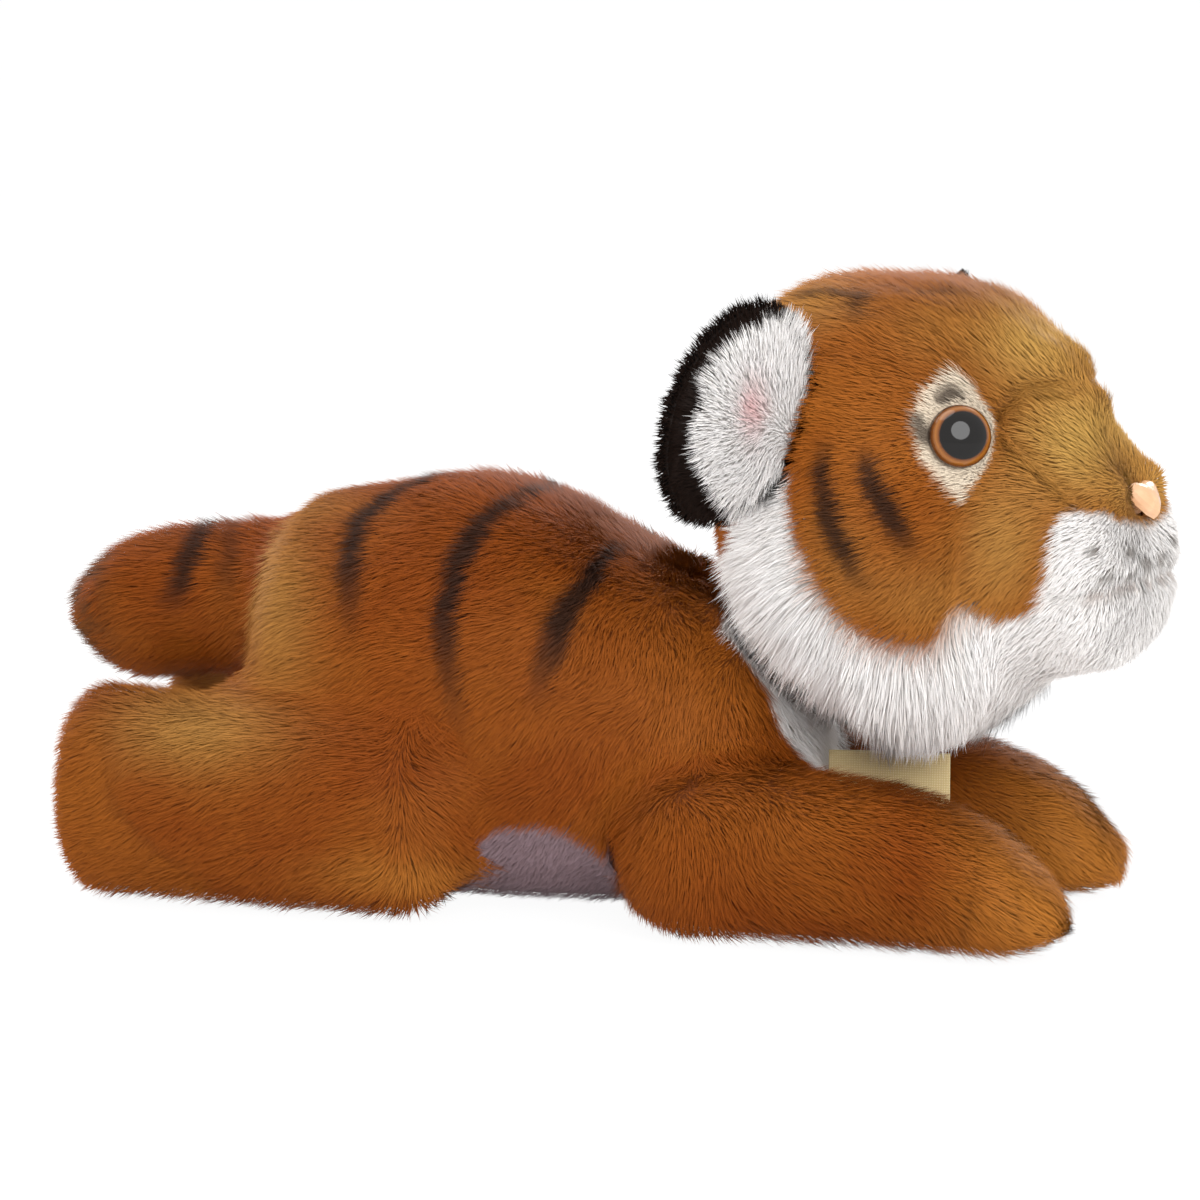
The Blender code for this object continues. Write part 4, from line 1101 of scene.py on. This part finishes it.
over = ((spots - np.array(HEAD_PIVOT)) @ head_turn)[:, 1] > 0
aside = -(facing @ head_turn)[:, 1] * np.where(over, -1, 1)
ruff = white * soft(RUFF_FRONT - pixels[:, 0], 0, RUFF_FADE) * soft(pixels[:, 1], *RUFF_TOP)
ruff *= soft(aside, 0.0, 0.40)
muzzle = soft(pixels[:, 0], *MUZZLE_BACK) * soft(local[:, 0], 0.02, 0.035)
nose_gap = np.linalg.norm(local - np.array(NOSE_PLACE), axis=1)
lay = local - np.array(PARTING)
lay[:, 2] -= 0.25 * np.abs(lay[:, 0])
lay = unit(lay)
hub = from_head(sighted(head, [RUFF_HUB]))[0]
outward = unit(local - hub)
outward[:, 2] -= 0.45
lay = lay * (1 - ruff[:, None]) + outward * ruff[:, None]
lay[over, 1] *= -1
flow = lay @ head_turn.T + wavering(local, 0.012, 12.0, 0.35)
comb = laid(facing, flow, HAIR_STAND - 0.05 + 0.14 * cloudy(spots, 0.010, 12.0) + 0.12 * ruff)
length = FACE_PILE - MUZZLE_CUT * muzzle + RUFF_PILE * ruff
length *= 1 - 0.62 * (1 - soft(eye_gap, 0.009, 0.015))
length *= 1 - 0.25 * (1 - soft(nose_gap, 0.006, 0.012))
seat = beside(spots, ["torso_cover", "chest_panel", "torso_filling"])
thick = (0.12 + 0.88 * soft(seat, 0.001, 0.004)) * soft(eye_gap, 0.0068, 0.0078)
thick *= soft(nose_gap, 0.0034, 0.0048) * (1 + 0.25 * muzzle)
plush(head, "head", facing, colours, comb, length, thick, HEAD_NODES, 51, slices=4)

# The eyes: safety eyes, each one glossy moulding with an amber ring round a black pupil, on a
# shank that goes through the cover and holds in a lock washer.

EYE_RADIUS = 0.0075
EYE_DOME = 0.0050
EYE_EDGE = 0.0012
EYE_SHANK_RADIUS = 0.0020
EYE_SHANK_LENGTH = 0.0130
PUPIL_SHARE = 0.76


def lathed(name, profile, matrix, segments=64):
    """A closed turned form round its placement's z, with its radius noted for its finish."""
    points, rings, faces = [], [], []
    for radius, level in profile:
        if radius == 0.0:
            rings.append([len(points)])
            points.append((0.0, 0.0, level))
            continue
        rings.append(list(range(len(points), len(points) + segments)))
        angles = [2 * math.pi * j / segments for j in range(segments)]
        points += [(radius * math.cos(a), radius * math.sin(a), level) for a in angles]
    for low, high in zip(rings[:-1], rings[1:]):
        for j in range(segments):
            k = (j + 1) % segments
            if len(low) == 1:
                faces.append((low[0], high[k], high[j]))
            elif len(high) == 1:
                faces.append((low[j], low[k], high[0]))
            else:
                faces.append((low[j], low[k], high[k], high[j]))
    mesh = bpy.data.meshes.new(name)
    mesh.from_pydata([matrix @ Vector(p) for p in points], [], faces)
    smoothed(mesh)
    obj = linked(name, mesh)
    noted(obj, "radius", [math.hypot(p[0], p[1]) for p in points])
    return obj


def eye_finish():
    finish = Finish("amber_eye", Roughness=0.06, Specular_IOR_Level=0.42)
    share = finish.attribute("radius", 2) * (1 / EYE_RADIUS)
    grain = finish.grain(900.0, 3.0)
    stops = [
        (0.0, linear(7, 4, 3)), (PUPIL_SHARE - 0.02, linear(9, 5, 3)),
        (PUPIL_SHARE + 0.02, linear(112, 62, 22)), (0.86, linear(158, 98, 38)),
        (0.95, linear(104, 56, 20)), (1.0, linear(30, 16, 8)),
    ]
    ring = finish.wire("ShaderNodeValToRGB", {"stops": stops}, {0: share + (grain - 0.5) * 0.03})
    finish.shade(Base_Color=ring)
    return finish.material


eye_material = eye_finish()
dome = [
    (EYE_RADIUS * math.cos(a), EYE_DOME * math.sin(a))
    for a in (math.pi / 2 * i / 14 for i in range(14))
]
eye_profile = [
    (0.0, -EYE_SHANK_LENGTH), (EYE_SHANK_RADIUS, -EYE_SHANK_LENGTH), (EYE_SHANK_RADIUS, -EYE_EDGE),
    (EYE_RADIUS * 0.97, -EYE_EDGE), (EYE_RADIUS, -EYE_EDGE * 0.6), *dome, (0.0, EYE_DOME),
]
for suffix, side in (("left", 1), ("right", -1)):
    eye = lathed("eye_dome_" + suffix, eye_profile, eye_placement(side))
    eye.data.materials.append(eye_material)
    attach(eye, "head")
    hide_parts("eye_" + suffix)

# The nose: one glossy peach moulding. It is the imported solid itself, on a shank and washer like
# the eyes'.

nose_finish = Finish("peach_nose", Roughness=0.28, Coat_Weight=0.5, Coat_Roughness=0.12)
mottle = nose_finish.grain(420.0, 3.0)
nose_finish.shade(Base_Color=nose_finish.mix(
    mottle, (*linear(214, 160, 118), 1.0), (*linear(232, 190, 150), 1.0)
))
nose_finish.bumped(mottle, 0.25, 0.0004)
nose_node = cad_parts["nose"]
nose_node.data.materials.clear()
nose_node.data.materials.append(nose_finish.material)

# The ears: each has black pile behind and white pile with a rosy middle in front, and is sewn
# to the head along one line.

EAR_PLACE = Vector((-0.0110, 0.0425, 0.0240))
EAR_VOXEL = 0.0010
EAR_PILE = 0.0036
LINING_PILE = 0.0024
LINING_WHITE = (1.0, 0.985, 0.97)
ROSY = linear(240, 178, 178)
ROSY_PATCH = ((762, 412), 13, 24, 0.75)
EAR_TIP = 292
EAR_HAIRS = 6.5e6
LINING_NEAR = 0.0004
EAR_STAND = 0.42
EAR_WHITE = [
    (768, 328), (795, 322), (840, 326), (840, 540), (742, 540), (736, 514), (712, 482), (700, 450),
    (702, 422), (714, 400), (704, 380), (718, 362), (742, 342),
]
for suffix, side, seed in (("right", -1, 61), ("left", 1, 65)):
    nodes = ["ear_back_" + suffix, "ear_lining_" + suffix]
    ear = fused("ear_" + suffix, nodes, EAR_VOXEL, 3)
    spots, facing = places(ear)
    lining_gap = beside(spots, nodes[1:])
    ahead = unit(facing[lining_gap < LINING_NEAR].mean(0)[None])[0]
    pixels = pictured(to_world(from_head(spots)))
    pixels = pixels + 3.5 * cloudy(spots, 0.0025, 40.0)[:, None]
    white = zone(pixels, EAR_WHITE, 3.0) * soft(facing @ ahead, 0.05, 0.35)
    dark_pile_and_crease_shade = np.array(DARK) * 0.45
    colours = blended(dark_pile_and_crease_shade, LINING_WHITE, white)
    colours = blended(colours, ROSY, blot(pixels, *ROSY_PATCH) * white)
    root = np.array(head_place @ Vector((EAR_PLACE.x, side * EAR_PLACE.y, EAR_PLACE.z)))
    flow = spots - root + wavering(spots, 0.010, 3.0, 0.006)
    comb = laid(facing, flow, np.full(len(spots), EAR_STAND))
    tip = soft(EAR_TIP - pictured(spots)[:, 1], 0, 12)
    length = (EAR_PILE + LINING_PILE * white) * (1 - 0.65 * tip)
    plush(ear, "ear_" + suffix, facing, colours, comb, length, np.ones(len(spots)), nodes,
          seed, hairs=EAR_HAIRS)

# The label: a short ribbon woven of crossed threads, bare and slightly bowed, sewn in under the
# chin.

LABEL_CORNER = Vector((0.058697, -0.011556, 0.0220))
LABEL_HEADING = math.radians(8)
LABEL_LENGTH = 0.030
LABEL_HEIGHT = 0.0195
LABEL_THICKNESS = 0.0006
LABEL_BOW = 0.0005
label_place = Matrix.Translation(LABEL_CORNER) @ Matrix.Rotation(LABEL_HEADING, 4, "Z")
across, upward = 60, 40
row = across + 1
points = [
    label_place @ Vector((
        u * LABEL_LENGTH, LABEL_BOW * math.sin(u * 5.0) * (0.4 + 0.6 * v), v * LABEL_HEIGHT,
    ))
    for v in (j / upward for j in range(upward + 1)) for u in (i / across for i in range(row))
]
faces = [
    (first, first + 1, first + row + 1, first + row)
    for first in (j * row + i for j in range(upward) for i in range(across))
]
mesh = bpy.data.meshes.new("label_ribbon")
mesh.from_pydata(points, [], faces)
layer = mesh.uv_layers.new(name="weave")
for corner in mesh.loops:
    j, i = divmod(corner.vertex_index, row)
    layer.data[corner.index].uv = (i / across * LABEL_LENGTH, j / upward * LABEL_HEIGHT)
smoothed(mesh)
ribbon = linked("label_ribbon", mesh)
thicker = ribbon.modifiers.new("thickness", "SOLIDIFY")
thicker.thickness = LABEL_THICKNESS
thicker.offset = 0.0
weave = Finish("woven_ribbon", Roughness=0.62)
flat = weave.wire("ShaderNodeUVMap", {"uv_map": "weave"}, {})
warp, weft = (
    weave.wire("ShaderNodeTexWave", {"bands_direction": turn}, {
        "Vector": flat, "Scale": 520.0, "Distortion": 0.6, "Detail": 1.0, "Detail Scale": 2.0,
    }, 1) for turn in ("X", "Y")
)
cross = warp * weft
cloud = weave.grain(160.0, 3.0, flat)
cloth = weave.mix(cross, (*linear(226, 200, 142), 1.0), (*linear(255, 240, 192), 1.0))
cloth = weave.mix(cloud * 0.5, cloth, (*linear(240, 216, 158), 1.0))
weave.shade(Base_Color=cloth)
weave.bumped(cross, 0.5, 0.0002)
mesh.materials.append(weave.material)
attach(ribbon, "torso")
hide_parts("label")

bpy.data.objects.remove(hair)
